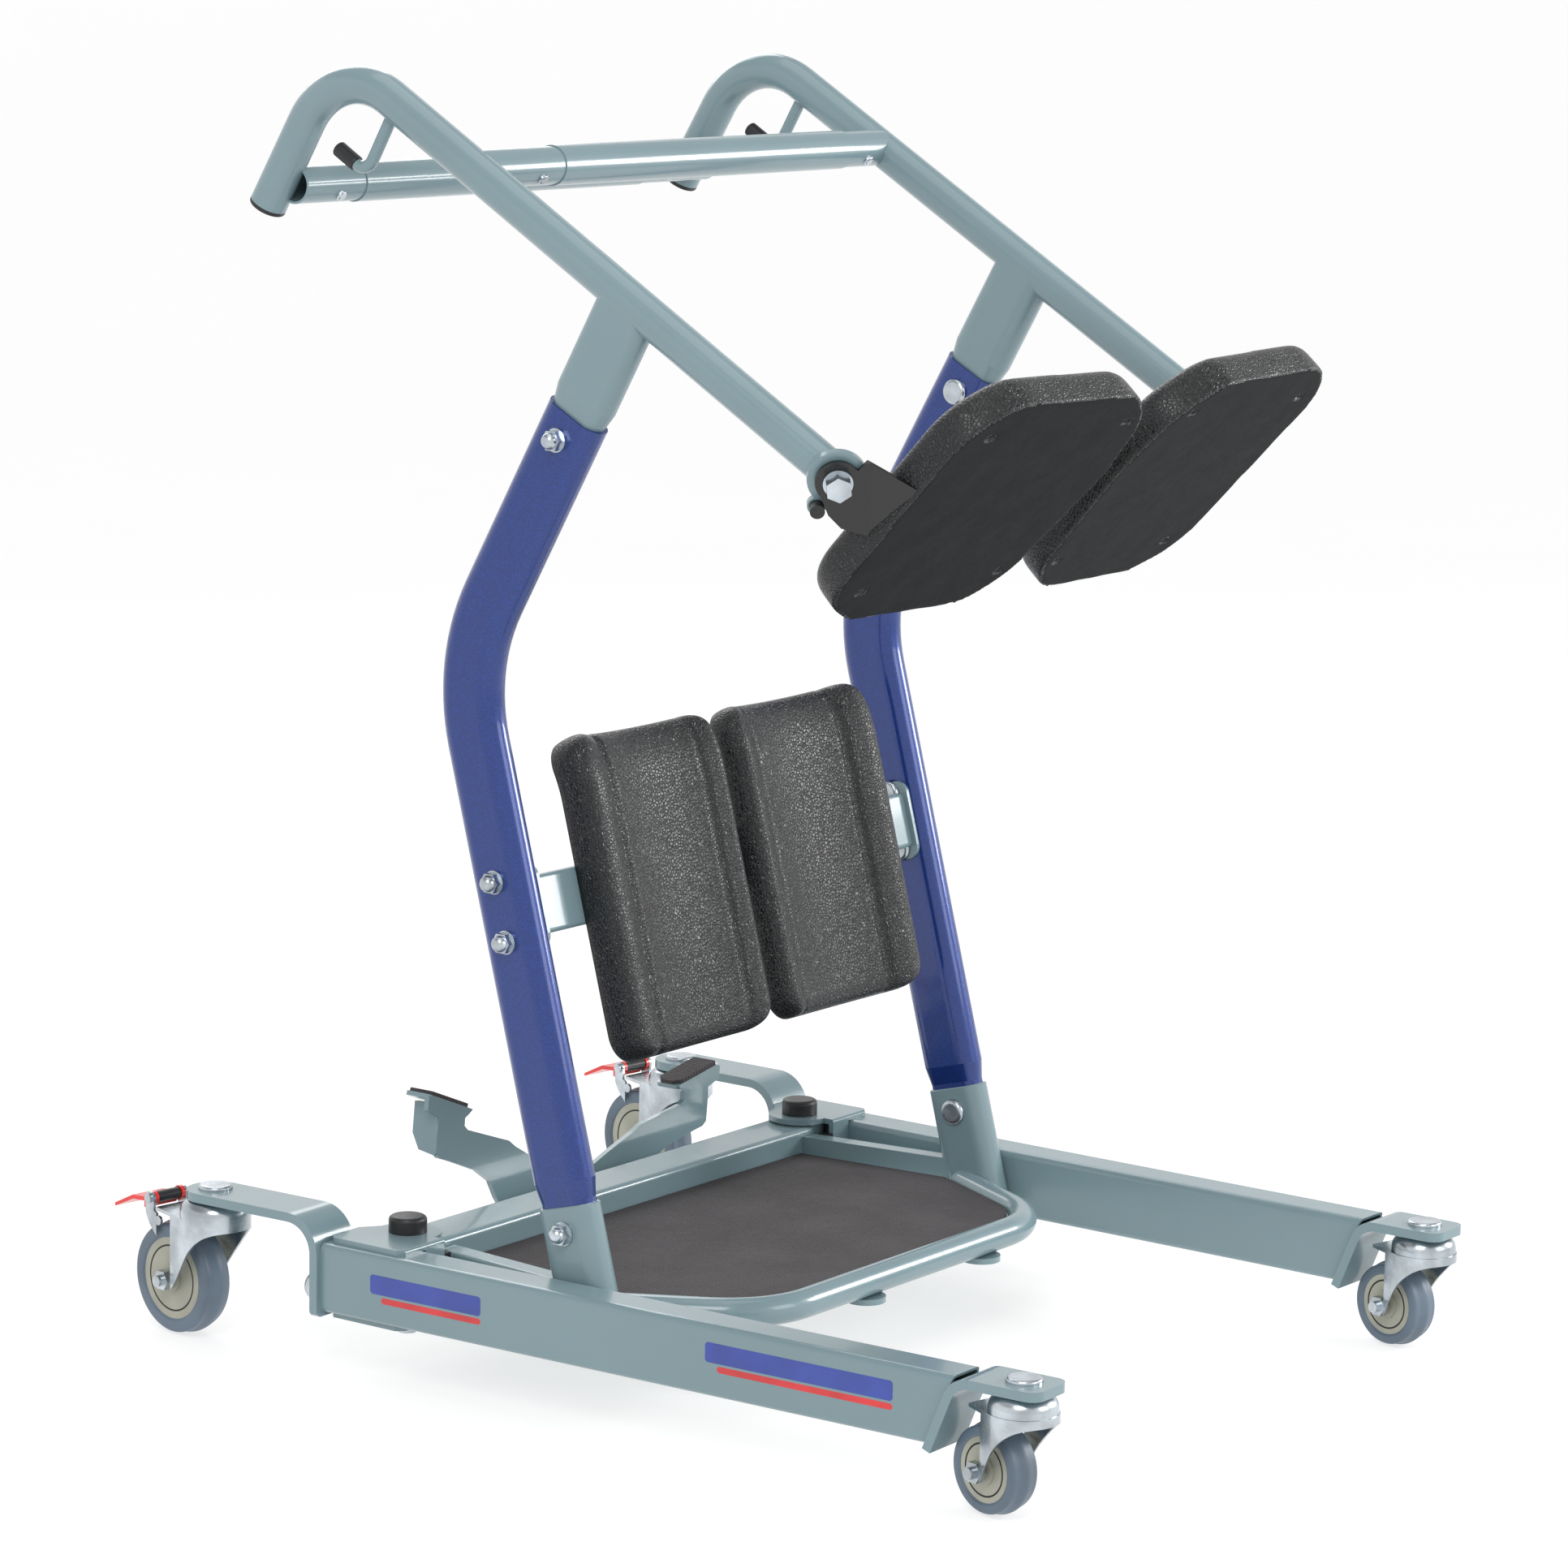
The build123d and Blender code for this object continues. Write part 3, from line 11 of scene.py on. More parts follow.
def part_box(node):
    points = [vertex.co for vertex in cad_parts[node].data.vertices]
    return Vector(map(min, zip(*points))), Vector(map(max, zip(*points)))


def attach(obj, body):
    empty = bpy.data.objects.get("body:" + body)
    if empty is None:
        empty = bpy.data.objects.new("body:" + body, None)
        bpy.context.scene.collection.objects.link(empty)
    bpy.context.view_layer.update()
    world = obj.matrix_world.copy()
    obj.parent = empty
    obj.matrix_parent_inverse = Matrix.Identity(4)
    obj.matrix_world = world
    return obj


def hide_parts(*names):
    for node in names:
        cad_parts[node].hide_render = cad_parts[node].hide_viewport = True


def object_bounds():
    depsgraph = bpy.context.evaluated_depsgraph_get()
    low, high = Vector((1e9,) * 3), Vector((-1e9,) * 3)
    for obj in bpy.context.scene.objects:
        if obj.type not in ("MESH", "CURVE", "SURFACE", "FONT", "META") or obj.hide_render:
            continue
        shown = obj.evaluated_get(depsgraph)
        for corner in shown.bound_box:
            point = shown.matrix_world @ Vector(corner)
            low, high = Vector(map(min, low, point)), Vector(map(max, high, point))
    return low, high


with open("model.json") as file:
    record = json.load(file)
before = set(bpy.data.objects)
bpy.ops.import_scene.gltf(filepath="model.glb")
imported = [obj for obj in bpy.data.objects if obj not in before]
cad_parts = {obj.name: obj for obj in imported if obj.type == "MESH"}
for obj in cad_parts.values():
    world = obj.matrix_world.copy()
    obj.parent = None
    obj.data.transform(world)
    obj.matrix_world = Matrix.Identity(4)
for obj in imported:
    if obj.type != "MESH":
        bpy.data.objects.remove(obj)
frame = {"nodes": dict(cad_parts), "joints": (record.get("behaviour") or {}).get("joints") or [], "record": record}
cad_low, cad_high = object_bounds()
scene = bpy.context.scene
record = frame["record"]
joints = {joint["name"]: joint for joint in frame["joints"]}

# ---------------------------------------------------------------- driving values, in metres
CAMERA_AT = Vector((-3.6412, -2.6353, 1.2694))
CAMERA_AZIMUTH, CAMERA_ELEVATION, CAMERA_ROLL = -53.98, 9.83, 1.03
CAMERA_LENS, CAMERA_SENSOR = 121.4, 36

SEAT_OUT = Vector((-0.9988, 0.0479, -0.0031)).normalized()
SEAT_FACE = Vector((0.0328, 0.7276, 0.6853)).normalized()
SEAT_SLOT_AT = 0.0914            # slots sit this far from the pad's middle, both ways
SEAT_SLOT_LONG, SEAT_SLOT_WIDE = 0.0065, 0.0042  # from a slot's middle to its ends and sides
SEAT_SLOT_DEEP, SEAT_SLOT_STEEP = 0.005, 3
SEAT_BACK_SKIN = 0.004           # vertices this close to the flat back belong to it
SEAT_BACK_FACING = 0.97          # polygons whose normal is this much backwards have the dull skin
SEAT_WAVE, SEAT_WAVE_SCALE = 0.0003, 30
SEAT_BACK_KEEP = 0.12            # share of the smoothing that reaches the flat back
SEAT_SOFT_SLOPE, SEAT_SOFT_START = 2.2, 0.3
SEAT_SOFTEN = 60                 # smoothing passes after the remesh
SEAT_VOXEL = 0.0022

KNEE_LEAN = math.radians(15)
KNEE_CREST, KNEE_CREST_FALL = 0.031, 0.004       # height at the outer edge, and how much less inside
KNEE_TROUGH, KNEE_TROUGH_CURVE, KNEE_TROUGH_AT = 0.014, 0.013, 0.44
KNEE_OUTER = (0.91, 0.13)        # ridges: place and half width, as shares of the pad's width
KNEE_INNER, KNEE_INNER_SHARE = (0.03, 0.17), 0.8
KNEE_GROOVE_DEEP, KNEE_GROOVE = 0.0035, (0.775, 0.035)
KNEE_SEAM_DEEP, KNEE_SEAM = 0.0022, (0.155, 0.028)
KNEE_CORNER = 0.026              # corner radius of the outline
KNEE_ROUND, KNEE_ROUND_POWER = 0.016, 2.4        # rounding from the front down to the sides
KNEE_ROLL_FROM, KNEE_ROLL_R = 0.225, 0.132
KNEE_FLAT_TALL = 0.15            # up to here the back has not begun to roll
KNEE_INSET = 0.001               # how much narrower than the CAD pad
KNEE_COLUMNS, KNEE_ROWS, KNEE_MERGE = 96, 120, 0.00002

LEG_TOE = math.radians(1.19)
BADGES = (                       # rear end, front end, middle height, height
    ("badge_rear", 0.180, 0.062, 0.084, 0.024),
    ("badge_front", -0.168, -0.350, 0.087, 0.024),
)
BADGE_OFF, BADGE_THICK, BADGE_CORNER = 0.0001, 0.0002, 0.002
BADGE_SPLIT = 0.28               # the stripe's top edge, below the middle, as a share of the height
BADGE_GAP, BADGE_SETBACK = 0.002, 0.012

GROOVE_AT, GROOVE_NEAR = 0.80, 0.25              # shares of the hub's radius
GROOVE_SUNK, GROOVE_PROUD = 0.0006, 0.00015
GROOVE_FOOT_HALF, GROOVE_TOP_HALF = 0.0008, 0.0007

FLOOR_GAP = 0.0002
BOWL_FLAT, BOWL_R, BOWL_TALL, BOWL_STEPS, BOWL_BEND_STEPS = 6.0, 3.0, 6.0, 96, 12


# ---------------------------------------------------------------- material helpers
class Paint:
    """A Principled material with helpers for the procedural nodes that feed it."""

    def __init__(self, name, color, roughness, metallic=0.0):
        self.material = bpy.data.materials.new(name)
        self.material.use_nodes = True
        self.material.diffuse_color = (*color, 1)
        self.tree = self.material.node_tree
        self.shader = self.tree.nodes["Principled BSDF"]
        self.shader.inputs["Metallic"].default_value = metallic
        self.color, self.roughness = color, roughness
        self.coords = self.tree.nodes.new("ShaderNodeTexCoord").outputs["Object"]

    def node(self, kind, **values):
        """A shader node, with its settings and input values by name."""
        made = self.tree.nodes.new("ShaderNode" + kind)
        for key, value in values.items():
            if hasattr(made, key):
                setattr(made, key, value)
            else:
                made.inputs[key.replace("_", " ")].default_value = value
        return made

    def link(self, output, socket):
        self.tree.links.new(output, socket)
        return self

    def grain(self, scale, detail=3.0):
        """Noise from 0 to 1."""
        made = self.node("TexNoise", Scale=scale, Detail=detail)
        self.link(self.coords, made.inputs["Vector"])
        return made.outputs["Fac"]

    def cells(self, scale, feature="F1"):
        """Distances in a cell pattern."""
        made = self.node("TexVoronoi", Scale=scale)
        made.feature = feature
        self.link(self.coords, made.inputs["Vector"])
        return made.outputs["Distance"]

    def tint(self, fac, dark, light, low=0.35, high=0.65):
        """Base colour runs from dark to light as fac goes from low to high."""
        ramp = self.node("ValToRGB")
        ramp.color_ramp.elements[0].position, ramp.color_ramp.elements[1].position = low, high
        ramp.color_ramp.elements[0].color = (*[c * dark for c in self.color], 1)
        ramp.color_ramp.elements[1].color = (*[min(1, c * light) for c in self.color], 1)
        self.link(fac, ramp.inputs["Fac"])
        return self.link(ramp.outputs["Color"], self.shader.inputs["Base Color"])

    def rough(self, fac, spread):
        """Roughness varies either side of its middle value."""
        spread_map = self.node("MapRange")
        spread_map.inputs["To Min"].default_value = self.roughness - spread
        spread_map.inputs["To Max"].default_value = self.roughness + spread
        self.link(fac, spread_map.inputs["Value"])
        return self.link(spread_map.outputs["Result"], self.shader.inputs["Roughness"])

    def bump(self, height, depth, strength=0.5, below=None):
        """Relief of a depth in metres, on top of the bump below it."""
        made = self.node("Bump")
        made.inputs["Strength"].default_value = strength
        made.inputs["Distance"].default_value = depth
        self.link(height, made.inputs["Height"])
        if below is not None:
            self.link(below, made.inputs["Normal"])
        self.link(made.outputs["Normal"], self.shader.inputs["Normal"])
        return made.outputs["Normal"]

    def set(self, **values):
        """Sets shader inputs by name."""
        for key, value in values.items():
            self.shader.inputs[key.replace("_", " ")].default_value = value
        return self


def srgb(red, green, blue):
    """An 8-bit screen colour as the linear values that Blender works in."""
    return tuple(
        (c / 255 / 12.92) if c < 11 else ((c / 255 + 0.055) / 1.055) ** 2.4
        for c in (red, green, blue)
    )


def enamel(name, color, roughness, coat):
    """Sprayed paint: slight mottling, orange peel and a clear top."""
    paint = Paint(name, color, roughness)
    paint.tint(paint.grain(7, 3), 0.97, 1.03)
    paint.rough(paint.grain(45, 3), 0.03)
    paint.bump(paint.grain(420, 2), 0.00003, 0.3)
    return paint.set(Coat_Weight=coat, Coat_Roughness=0.06, Specular_IOR_Level=0.5)


def metallic_enamel(name, color, roughness):
    """Deep paint with fine bright flakes in it."""
    paint = Paint(name, color, roughness, metallic=0.35)
    flakes = paint.cells(900)
    paint.tint(flakes, 2.1, 0.82, low=0.10, high=0.42)
    paint.rough(paint.grain(80, 4), 0.07)
    paint.bump(paint.grain(500, 2), 0.00003, 0.3)
    return paint.set(Coat_Weight=0.7, Coat_Roughness=0.07)


def plated(name, color, roughness):
    """Bright zinc plate: cloudy passivation and fine pressing marks."""
    paint = Paint(name, color, roughness, metallic=1.0)
    paint.tint(paint.grain(38, 5), 0.72, 1.12)
    paint.rough(paint.grain(120, 5), 0.12)
    paint.bump(paint.grain(900, 4), 0.00008, 0.5)
    return paint


def leather_skin(name, color, roughness, cell):
    """Moulded foam skin with a leather grain pressed into it: low pebbles with creases between them, the creases
    darkened with painted shade.
    """
    paint = Paint(name, color, roughness)
    creases = paint.cells(1 / cell, "DISTANCE_TO_EDGE")
    pebble_relief_and_crease_shade = paint.node("MapRange", interpolation_type="SMOOTHSTEP")
    pebble_relief_and_crease_shade.inputs["From Max"].default_value = 0.22
    paint.link(creases, pebble_relief_and_crease_shade.inputs["Value"])
    pores = paint.bump(paint.grain(900, 6), 0.0002, 0.5)
    # painted shade: the colour darkens to 0.45 of the base in the creases between the pebbles and rises to 1.35 on
    # their tops
    paint.tint(pebble_relief_and_crease_shade.outputs["Result"], 0.45, 1.35, low=0.0, high=0.9)
    paint.rough(paint.grain(260, 5), 0.10)
    paint.bump(pebble_relief_and_crease_shade.outputs["Result"], 0.0005, 0.9, below=pores)
    return paint.set(Specular_IOR_Level=0.5)


def moulded(name, color, roughness, scale=300, depth=0.00015, coat=0.0):
    """Moulded plastic or rubber with a faint matt grain."""
    paint = Paint(name, color, roughness)
    paint.tint(paint.grain(scale / 12, 4), 0.86, 1.14)
    paint.rough(paint.grain(scale / 3, 4), 0.08)
    paint.bump(paint.grain(scale, 5), depth, 0.5)
    return paint.set(Coat_Weight=coat, Coat_Roughness=0.1)


def ribbed(name, color, roughness, pitch, along):
    """Rubber sheet with fine parallel ribs."""
    paint = Paint(name, color, roughness)
    wave = paint.node("TexWave", wave_type="BANDS", bands_direction=along, wave_profile="SIN")
    wave.inputs["Scale"].default_value = math.pi / (10 * pitch)
    paint.link(paint.coords, wave.inputs["Vector"])
    dust = paint.bump(paint.grain(500, 6), 0.0002, 0.5)
    paint.tint(paint.grain(14, 6), 0.82, 1.16)
    paint.rough(paint.grain(90, 5), 0.07)
    paint.bump(wave.outputs["Fac"], 0.0007, 0.8, below=dust)
    return paint


slots = {
    "grey_paint": enamel("grey_enamel", srgb(114, 137, 143), 0.25, 0.35),
    "blue_paint": metallic_enamel("blue_metallic", srgb(10, 48, 122), 0.3),
    "zinc_plate": plated("zinc", srgb(192, 200, 206), 0.26),
    "ribbed_rubber": ribbed("ribbed_rubber", srgb(62, 58, 60), 0.78, 0.0042, "X"),
    "black_plastic": moulded("black_plastic", srgb(26, 27, 29), 0.42),
    "pad_skin": leather_skin("leather_grain_skin", srgb(19, 21, 23), 0.33, 0.0030),
    "black_paint": enamel("black_enamel", srgb(8, 8, 9), 0.22, 0.3),
    "red_plastic": moulded("red_plastic", srgb(222, 44, 36), 0.32, coat=0.4),
    "tyre_rubber": moulded("tyre_rubber", srgb(88, 103, 117), 0.45, 220, 0.0002),
    "hub_plastic": moulded("hub_plastic", srgb(160, 160, 146), 0.48, 260),
}
back_skin = moulded("pad_back_skin", srgb(24, 26, 28), 0.7, 420, 0.0004).set(Specular_IOR_Level=0.1)
badge_blue = moulded("badge_blue", srgb(38, 62, 150), 0.35, 350, 0.00005, 0.5)
badge_red = moulded("badge_red", srgb(200, 36, 40), 0.35, 350, 0.00005, 0.5)
# painted shade: near-black material for the groove rings, standing in for the shade in the hub grooves
groove_shade_black = moulded("groove_shade_black", srgb(22, 23, 25), 0.6)

for part in record["subparts"]:
    node = frame["nodes"][part["node"]]
    node.data.materials.clear()
    node.data.materials.append(slots[part["material_slot"]].material)


# ---------------------------------------------------------------- mesh helpers
def piece(name, mesh, body, paint, smooth=True):
    """A new object with one material, riding on a CAD body."""
    made = bpy.data.objects.new(name, mesh)
    scene.collection.objects.link(made)
    made.data.materials.clear()
    made.data.materials.append(paint.material)
    if smooth:
        mesh.polygons.foreach_set("use_smooth", [True] * len(mesh.polygons))
    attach(made, body)
    return made


def apply_modifiers(made):
    """Bakes the object's modifiers into a new mesh."""
    graph = bpy.context.evaluated_depsgraph_get()
    baked = bpy.data.meshes.new_from_object(made.evaluated_get(graph))
    made.modifiers.clear()
    made.data = baked


def skin_of(node, name):
    """An evenly meshed copy of a plain CAD solid, to be shaped further."""
    made = bpy.data.objects.new(name, frame["nodes"][node].data.copy())
    scene.collection.objects.link(made)
    remesh = made.modifiers.new("remesh", "REMESH")
    remesh.mode, remesh.voxel_size, remesh.use_smooth_shade = "VOXEL", SEAT_VOXEL, True
    bpy.context.view_layer.update()
    apply_modifiers(made)
    return made


def soften(made, weights, passes):
    """Smooths the mesh, more where the weights are higher."""
    group = made.vertex_groups.new(name="soft")
    for index, weight in enumerate(weights):
        group.add([index], weight, "REPLACE")
    relax = made.modifiers.new("relax", "SMOOTH")
    relax.factor, relax.iterations, relax.vertex_group = 0.5, passes, "soft"
    bpy.context.view_layer.update()
    apply_modifiers(made)
    made.vertex_groups.clear()


def ease(value):
    """0 to 1 with soft ends."""
    value = max(0.0, min(1.0, value))
    return value * value * (3 - 2 * value)


def hill(value, width):
    """1 at 0, falling smoothly to 0 at the width."""
    return ease(1 - abs(value) / width)


def finish_skin(made, body, node):
    """Gives a shaped pad its leather, and puts it on its body in place of the CAD solid."""
    mesh = made.data
    mesh.polygons.foreach_set("use_smooth", [True] * len(mesh.polygons))
    mesh.materials.clear()
    mesh.materials.append(slots["pad_skin"].material)
    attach(made, body)
    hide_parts(node)


# ---------------------------------------------------------------- seat pads
def shape_seat_pad(name, node, body, side):
    """The moulded seat half: flat back with four slots and a broadly rounded cushion side."""
    made = skin_of(node, name)
    mirror = Vector((-side, 1, 1))
    out, face = SEAT_OUT * mirror, SEAT_FACE * mirror
    rise = face.cross(out) if side < 0 else out.cross(face)
    low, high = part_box(node)
    middle = (low + high) / 2

    def local():
        """Each vertex along out, rise and face, from the middle."""
        reach = [vertex.co - middle for vertex in made.data.vertices]
        return [[p.dot(way) for p in reach] for way in (out, rise, face)]

    _, _, ws = local()
    back, front = min(ws), max(ws)
    depths = [(w - back) / (front - back) for w in ws]
    shares = [ease(depth * SEAT_SOFT_SLOPE - SEAT_SOFT_START) for depth in depths]
    soften(made, [SEAT_BACK_KEEP + (1 - SEAT_BACK_KEEP) * share for share in shares], SEAT_SOFTEN)
    us, vs, ws = local()
    u_mid, v_mid = (min(us) + max(us)) / 2, (min(vs) + max(vs)) / 2
    back = min(ws)
    for vertex, u, v, w in zip(made.data.vertices, us, vs, ws):
        if w - back > SEAT_BACK_SKIN:
            continue
        for slot_u in (-SEAT_SLOT_AT, SEAT_SLOT_AT):
            for slot_v in (-SEAT_SLOT_AT, SEAT_SLOT_AT):
                inside = hill(u - u_mid - slot_u, SEAT_SLOT_LONG) * hill(v - v_mid - slot_v, SEAT_SLOT_WIDE)
                vertex.co += face * SEAT_SLOT_DEEP * ease(inside * SEAT_SLOT_STEEP)
        vertex.co += face * SEAT_WAVE * noise.noise(vertex.co * SEAT_WAVE_SCALE)
    finish_skin(made, body, node)
    # the flat back has a finer, duller grain than the leathered sides
    made.data.materials.append(back_skin.material)
    for polygon in made.data.polygons:
        polygon.material_index = 1 if polygon.normal.dot(face) < -SEAT_BACK_FACING else 0
    return made


# ---------------------------------------------------------------- knee pads
def knee_front_height(across):
    """Height of the knee pad's front over its base, from 0 at the inner edge to 1 at the outer one."""
    crest = KNEE_CREST - KNEE_CREST_FALL * (1 - across)
    outer = hill(across - KNEE_OUTER[0], KNEE_OUTER[1])
    inner = hill(across - KNEE_INNER[0], KNEE_INNER[1])
    trough = KNEE_TROUGH + KNEE_TROUGH_CURVE * ((across - KNEE_TROUGH_AT) / KNEE_TROUGH_AT) ** 2
    groove = KNEE_GROOVE_DEEP * hill(across - KNEE_GROOVE[0], KNEE_GROOVE[1])
    seam = KNEE_SEAM_DEEP * hill(across - KNEE_SEAM[0], KNEE_SEAM[1])
    height = trough - groove - seam
    return height + (crest - height) * max(outer, KNEE_INNER_SHARE * inner)


def shape_knee_pad(name, node, side):
    """The moulded knee rest: a closed skin over a rounded outline, its top rolled back."""
    low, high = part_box(node)
    front = Vector((0, -math.cos(KNEE_LEAN), math.sin(KNEE_LEAN)))
    rise = Vector((0, math.sin(KNEE_LEAN), math.cos(KNEE_LEAN)))
    cad = [vertex.co for vertex in frame["nodes"][node].data.vertices]
    foot = min(p.dot(rise) for p in cad)
    head = max(p.dot(rise) for p in cad)
    base = min(p.dot(front) for p in cad if p.dot(rise) < foot + KNEE_FLAT_TALL)
    tall, wide = head - foot, high.x - low.x - KNEE_INSET
    middle_x = (low.x + high.x) / 2
    columns, rows = KNEE_COLUMNS, KNEE_ROWS
    points = []
    for layer in (1, 0):
        for row in range(rows + 1):
            v = -math.cos(math.pi * row / rows)
            along = v * tall / 2
            over = max(0.0, abs(along) - (tall / 2 - KNEE_CORNER))
            half = wide / 2 - KNEE_CORNER + math.sqrt(max(0.0, KNEE_CORNER ** 2 - over ** 2))
            for column in range(columns + 1):
                u = -math.cos(math.pi * column / columns)
                x = u * half
                across = 0.5 + 0.5 * x / (wide / 2)
                edge = min(1.0, (half - abs(x)) / KNEE_ROUND), min(1.0, (tall / 2 - abs(along)) / KNEE_ROUND)
                rounded = [(1 - (1 - e) ** KNEE_ROUND_POWER) ** (1 / KNEE_ROUND_POWER) for e in edge]
                height = knee_front_height(across) * rounded[0] * rounded[1] if layer else 0.0
                height = max(height, 0.0)
                run = along + tall / 2 - KNEE_ROLL_FROM
                turn = max(0.0, run) / KNEE_ROLL_R
                climb = min(run, 0.0) + (KNEE_ROLL_R + height) * math.sin(turn)
                lift = (KNEE_ROLL_R + height) * math.cos(turn) - KNEE_ROLL_R
                place = rise * (foot + KNEE_ROLL_FROM + climb) + front * (base + lift)
                points.append(Vector((middle_x + side * x, place.y, place.z)))
    count = (rows + 1) * (columns + 1)
    faces = []
    for layer in (0, 1):
        for row in range(rows):
            for column in range(columns):
                a = layer * count + row * (columns + 1) + column
                faces.append((a, a + 1, a + columns + 2, a + columns + 1))
    mesh = bpy.data.meshes.new(name)
    mesh.from_pydata(points, [], faces)
    build = bmesh.new()
    build.from_mesh(mesh)
    bmesh.ops.remove_doubles(build, verts=build.verts, dist=KNEE_MERGE)
    bmesh.ops.recalc_face_normals(build, faces=build.faces)
    build.to_mesh(mesh)
    build.free()
    made = bpy.data.objects.new(name, mesh)
    scene.collection.objects.link(made)
    finish_skin(made, "frame", node)
    return made


for side, name in ((-1, "left"), (1, "right")):
    shape_seat_pad(f"seat_cushion_{name}", f"seat_pad_{name}", f"seat_{name}", side)
    shape_knee_pad(f"knee_cushion_{name}", f"knee_pad_{name}", side)


# ---------------------------------------------------------------- generic badges on the legs
def plate(points, thickness):
    """A closed thin plate from a ring of points, thickened along its own normal."""
    mesh = bpy.data.meshes.new("plate")
    build = bmesh.new()
    face = build.faces.new([build.verts.new(p) for p in points])
    face.normal_update()
    lift = face.normal * thickness
    made = bmesh.ops.extrude_face_region(build, geom=[face])
    for vertex in (v for v in made["geom"] if isinstance(v, bmesh.types.BMVert)):
        vertex.co += lift
    bmesh.ops.recalc_face_normals(build, faces=build.faces)
    build.to_mesh(mesh)
    build.free()
    return mesh


def leg_outer_x(y, side):
    """Outer face of a leg at that place along it, from the leg's box and its toe-in."""
    low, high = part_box(f"leg_{'left' if side < 0 else 'right'}")
    if side < 0:
        return low.x + (high.y - y) * math.tan(LEG_TOE)
    return high.x - (high.y - y) * math.tan(LEG_TOE)


def badge_mesh(y_rear, y_front, z_low, z_high, side):
    """A thin strip with softened corners, just off the leg's outer face."""
    cut = min(BADGE_CORNER, (z_high - z_low) / 3)
    ring = (
        (y_rear, z_low + cut), (y_rear, z_high - cut), (y_rear - cut, z_high), (y_front + cut, z_high),
        (y_front, z_high - cut), (y_front, z_low + cut), (y_front + cut, z_low), (y_rear - cut, z_low),
    )
    points = [Vector((leg_outer_x(y, side) + side * BADGE_OFF, y, z)) for y, z in ring]
    return plate(points, BADGE_THICK)


for side, name in ((-1, "left"), (1, "right")):
    for label, y_rear, y_front, z_mid, tall in BADGES:
        split = z_mid - tall * BADGE_SPLIT
        bar = badge_mesh(y_rear, y_front, split + BADGE_GAP, z_mid + tall / 2, side)
        stripe = badge_mesh(y_rear - BADGE_SETBACK, y_front, z_mid - tall / 2, split, side)
        piece(f"{label}_bar_{name}", bar, f"leg_{name}", badge_blue, smooth=False)
        piece(f"{label}_stripe_{name}", stripe, f"leg_{name}", badge_red, smooth=False)


# ---------------------------------------------------------------- groove rings on the wheel hubs, near-black: painted shade in the grooves
def lathe(name, profile, centre, axis, body, paint, steps=64):
    """A ring turned round an axis from a closed profile of (distance along, radius) points."""
    axis = Vector(axis).normalized()
    side_way = axis.orthogonal().normalized()
    other_way = axis.cross(side_way)
    rings = []
    for step in range(steps):
        turn = 2 * math.pi * step / steps
        outward = side_way * math.cos(turn) + other_way * math.sin(turn)
        rings.append([Vector(centre) + axis * along + outward * radius for along, radius in profile])
    count = len(profile)
    faces = []
    for step in range(steps):
        here, there = step * count, (step + 1) % steps * count
        for k in range(count):
            after = (k + 1) % count
            faces.append((here + k, here + after, there + after, there + k))
    mesh = bpy.data.meshes.new(name)
    mesh.from_pydata([point for ring in rings for point in ring], [], faces)
    mesh.validate()
    build = bmesh.new()
    build.from_mesh(mesh)
    bmesh.ops.recalc_face_normals(build, faces=build.faces)
    build.to_mesh(mesh)
    build.free()
    return piece(name, mesh, body, paint)


def hub_radius(node, centre, axis):
    """Outer radius of a hub, read from its own mesh."""
    offsets = [v.co - centre for v in frame["nodes"][node].data.vertices]
    return max((p - axis * p.dot(axis)).length for p in offsets)


def face_at(node, centre, axis, radius, sign):
    """How far out the hub's face is at that radius on one side."""
    offsets = [v.co - centre for v in frame["nodes"][node].data.vertices]
    near = [
        p.dot(axis) * sign
        for p in offsets
        if abs((p - axis * p.dot(axis)).length - radius) < GROOVE_NEAR * radius and p.dot(axis) * sign > 0
    ]
    return max(near) if near else 0.0


for side, name in ((-1, "left"), (1, "right")):
    for end in ("rear", "front"):
        joint = joints[f"wheel_{end}_{name}_roll"]
        centre, axis = Vector(joint["pos_m"]), Vector(joint["axis"]).normalized()
        hub = f"{end}_hub_{name}"
        radius = hub_radius(hub, centre, axis)
        for sign in (-1, 1):
            groove_at = radius * GROOVE_AT
            out_at = face_at(hub, centre, axis, groove_at, sign) * sign
            foot, top = out_at - sign * GROOVE_SUNK, out_at + sign * GROOVE_PROUD
            groove = [
                (foot, groove_at - GROOVE_FOOT_HALF), (top, groove_at - GROOVE_TOP_HALF),
                (top, groove_at + GROOVE_TOP_HALF), (foot, groove_at + GROOVE_FOOT_HALF),
            ]
            label = f"groove_{end}_{name}_{'a' if sign < 0 else 'b'}"
            # painted shade: a near-black ring, a little proud of the hub face, where the groove's shade falls
            lathe(label, groove, centre, axis, f"wheel_{end}_{name}", groove_shade_black)


# ---------------------------------------------------------------- floor, lights and camera
bowl_profile = [(0.02, 0.0), (BOWL_FLAT / 2, 0.0), (BOWL_FLAT, 0.0)]
for step in range(1, BOWL_BEND_STEPS + 1):
    turn = math.pi / 2 * step / BOWL_BEND_STEPS
    bowl_profile.append((BOWL_FLAT + BOWL_R * math.sin(turn), BOWL_R * (1 - math.cos(turn))))
bowl_profile.append((BOWL_FLAT + BOWL_R, BOWL_TALL))
bowl_points, bowl_faces = [], []
for step in range(BOWL_STEPS):
    turn = 2 * math.pi * step / BOWL_STEPS
    bowl_points += [(r * math.cos(turn), r * math.sin(turn), z) for r, z in bowl_profile]
    for ring in range(len(bowl_profile) - 1):
        a, b = step * len(bowl_profile) + ring, (step + 1) % BOWL_STEPS * len(bowl_profile) + ring
        bowl_faces.append((a, b, b + 1, a + 1))
bowl_faces.append(tuple(step * len(bowl_profile) for step in range(BOWL_STEPS)))
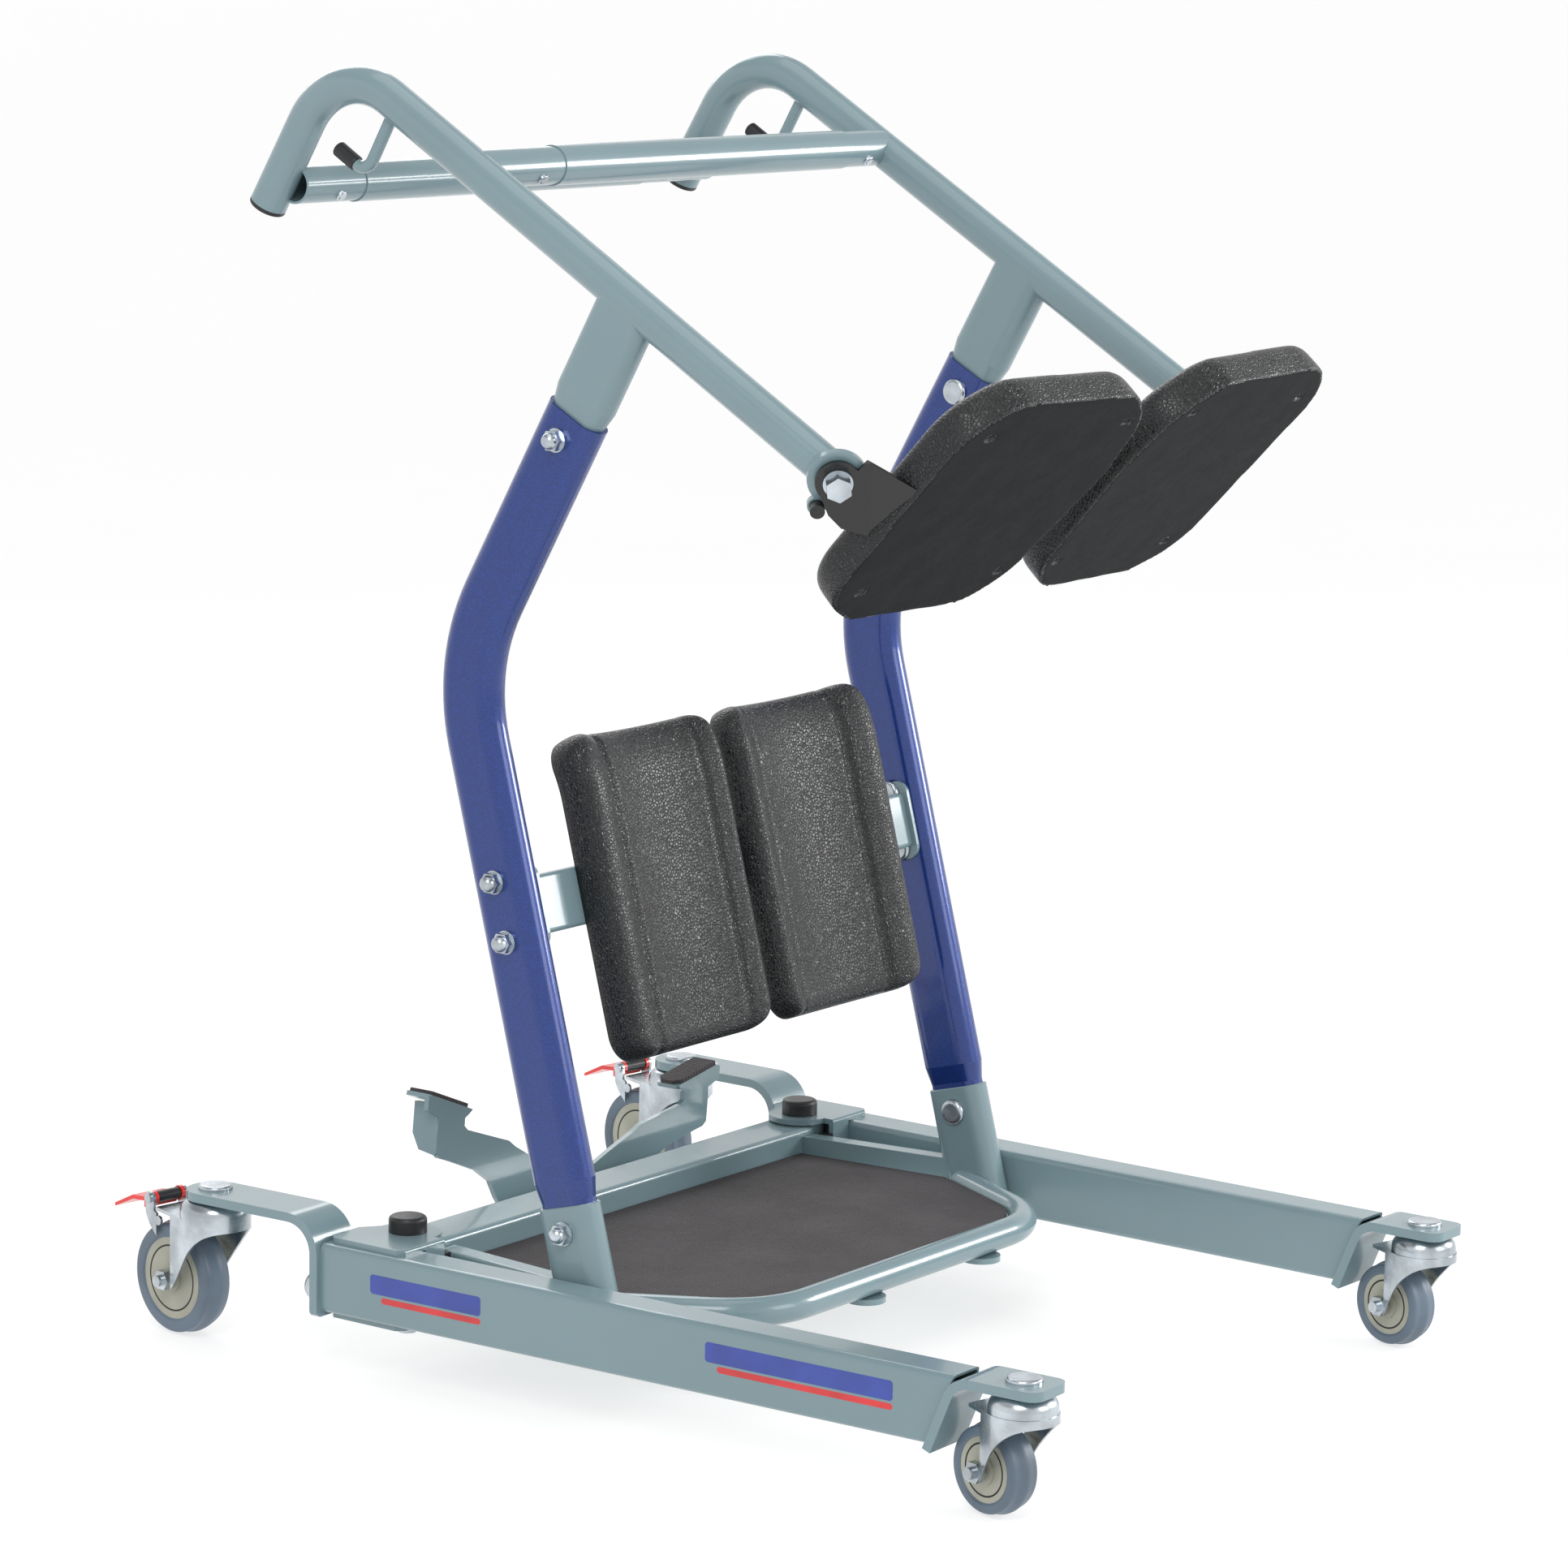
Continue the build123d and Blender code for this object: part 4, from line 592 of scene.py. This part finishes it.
floor_mesh = bpy.data.meshes.new("floor")
floor_mesh.from_pydata(bowl_points, [], bowl_faces)
floor_mesh.polygons.foreach_set("use_smooth", [True] * len(floor_mesh.polygons))
floor = bpy.data.objects.new("floor", floor_mesh)
floor.location.z = cad_low.z - FLOOR_GAP
scene.collection.objects.link(floor)
floor_paint = Paint("floor_paint", (0.35, 0.35, 0.35), 0.8)
floor_paint.tint(floor_paint.grain(2, 3), 0.99, 1.01)
floor_paint.rough(floor_paint.grain(6, 3), 0.05)
floor_paint.set(Emission_Color=(1, 1, 1, 1), Emission_Strength=0.70, Specular_IOR_Level=0.1)
floor_mesh.materials.append(floor_paint.material)


def softbox(name, at, aim, size, power):
    """A square area light that faces its aim."""
    light = bpy.data.lights.new(name, "AREA")
    light.shape, light.size, light.energy = "SQUARE", size, power
    made = bpy.data.objects.new(name, light)
    made.location = at
    made.rotation_euler = (Vector(aim) - Vector(at)).to_track_quat("-Z", "Y").to_euler()
    scene.collection.objects.link(made)


softbox("key", (-2.6, -1.2, 3.0), (0, 0, 0.5), 1.6, 52)
softbox("fill", (0.6, -3.6, 1.8), (0, 0, 0.5), 1.6, 26)
softbox("rim", (1.8, 2.6, 2.6), (0, 0, 0.6), 2.0, 34)
softbox("strip", (2.4, -1.9, 1.25), (0, 0, 0.55), 0.9, 42)
softbox("top", (0, 0, 3.6), (0, 0, 0), 2.4, 20)

world = bpy.data.worlds.new("studio")
world.use_nodes = True
world.node_tree.nodes["Background"].inputs["Color"].default_value = (1.0, 1.0, 1.0, 1)
world.node_tree.nodes["Background"].inputs["Strength"].default_value = 0.5
scene.world = world
scene.view_settings.view_transform = "Standard"

azimuth, elevation = math.radians(CAMERA_AZIMUTH), math.radians(CAMERA_ELEVATION)
toward_camera = Vector(
    (math.sin(azimuth) * math.cos(elevation), -math.cos(azimuth) * math.cos(elevation), math.sin(elevation))
)
camera_data = bpy.data.cameras.new("camera")
camera_data.lens, camera_data.sensor_width = CAMERA_LENS, CAMERA_SENSOR
camera_data.clip_start, camera_data.clip_end = 0.1, 100
camera = bpy.data.objects.new("camera", camera_data)
camera.location = CAMERA_AT
camera.rotation_mode = "QUATERNION"
roll = Quaternion((0, 0, 1), math.radians(CAMERA_ROLL))
camera.rotation_quaternion = toward_camera.to_track_quat("Z", "Y") @ roll
scene.collection.objects.link(camera)
scene.camera = camera
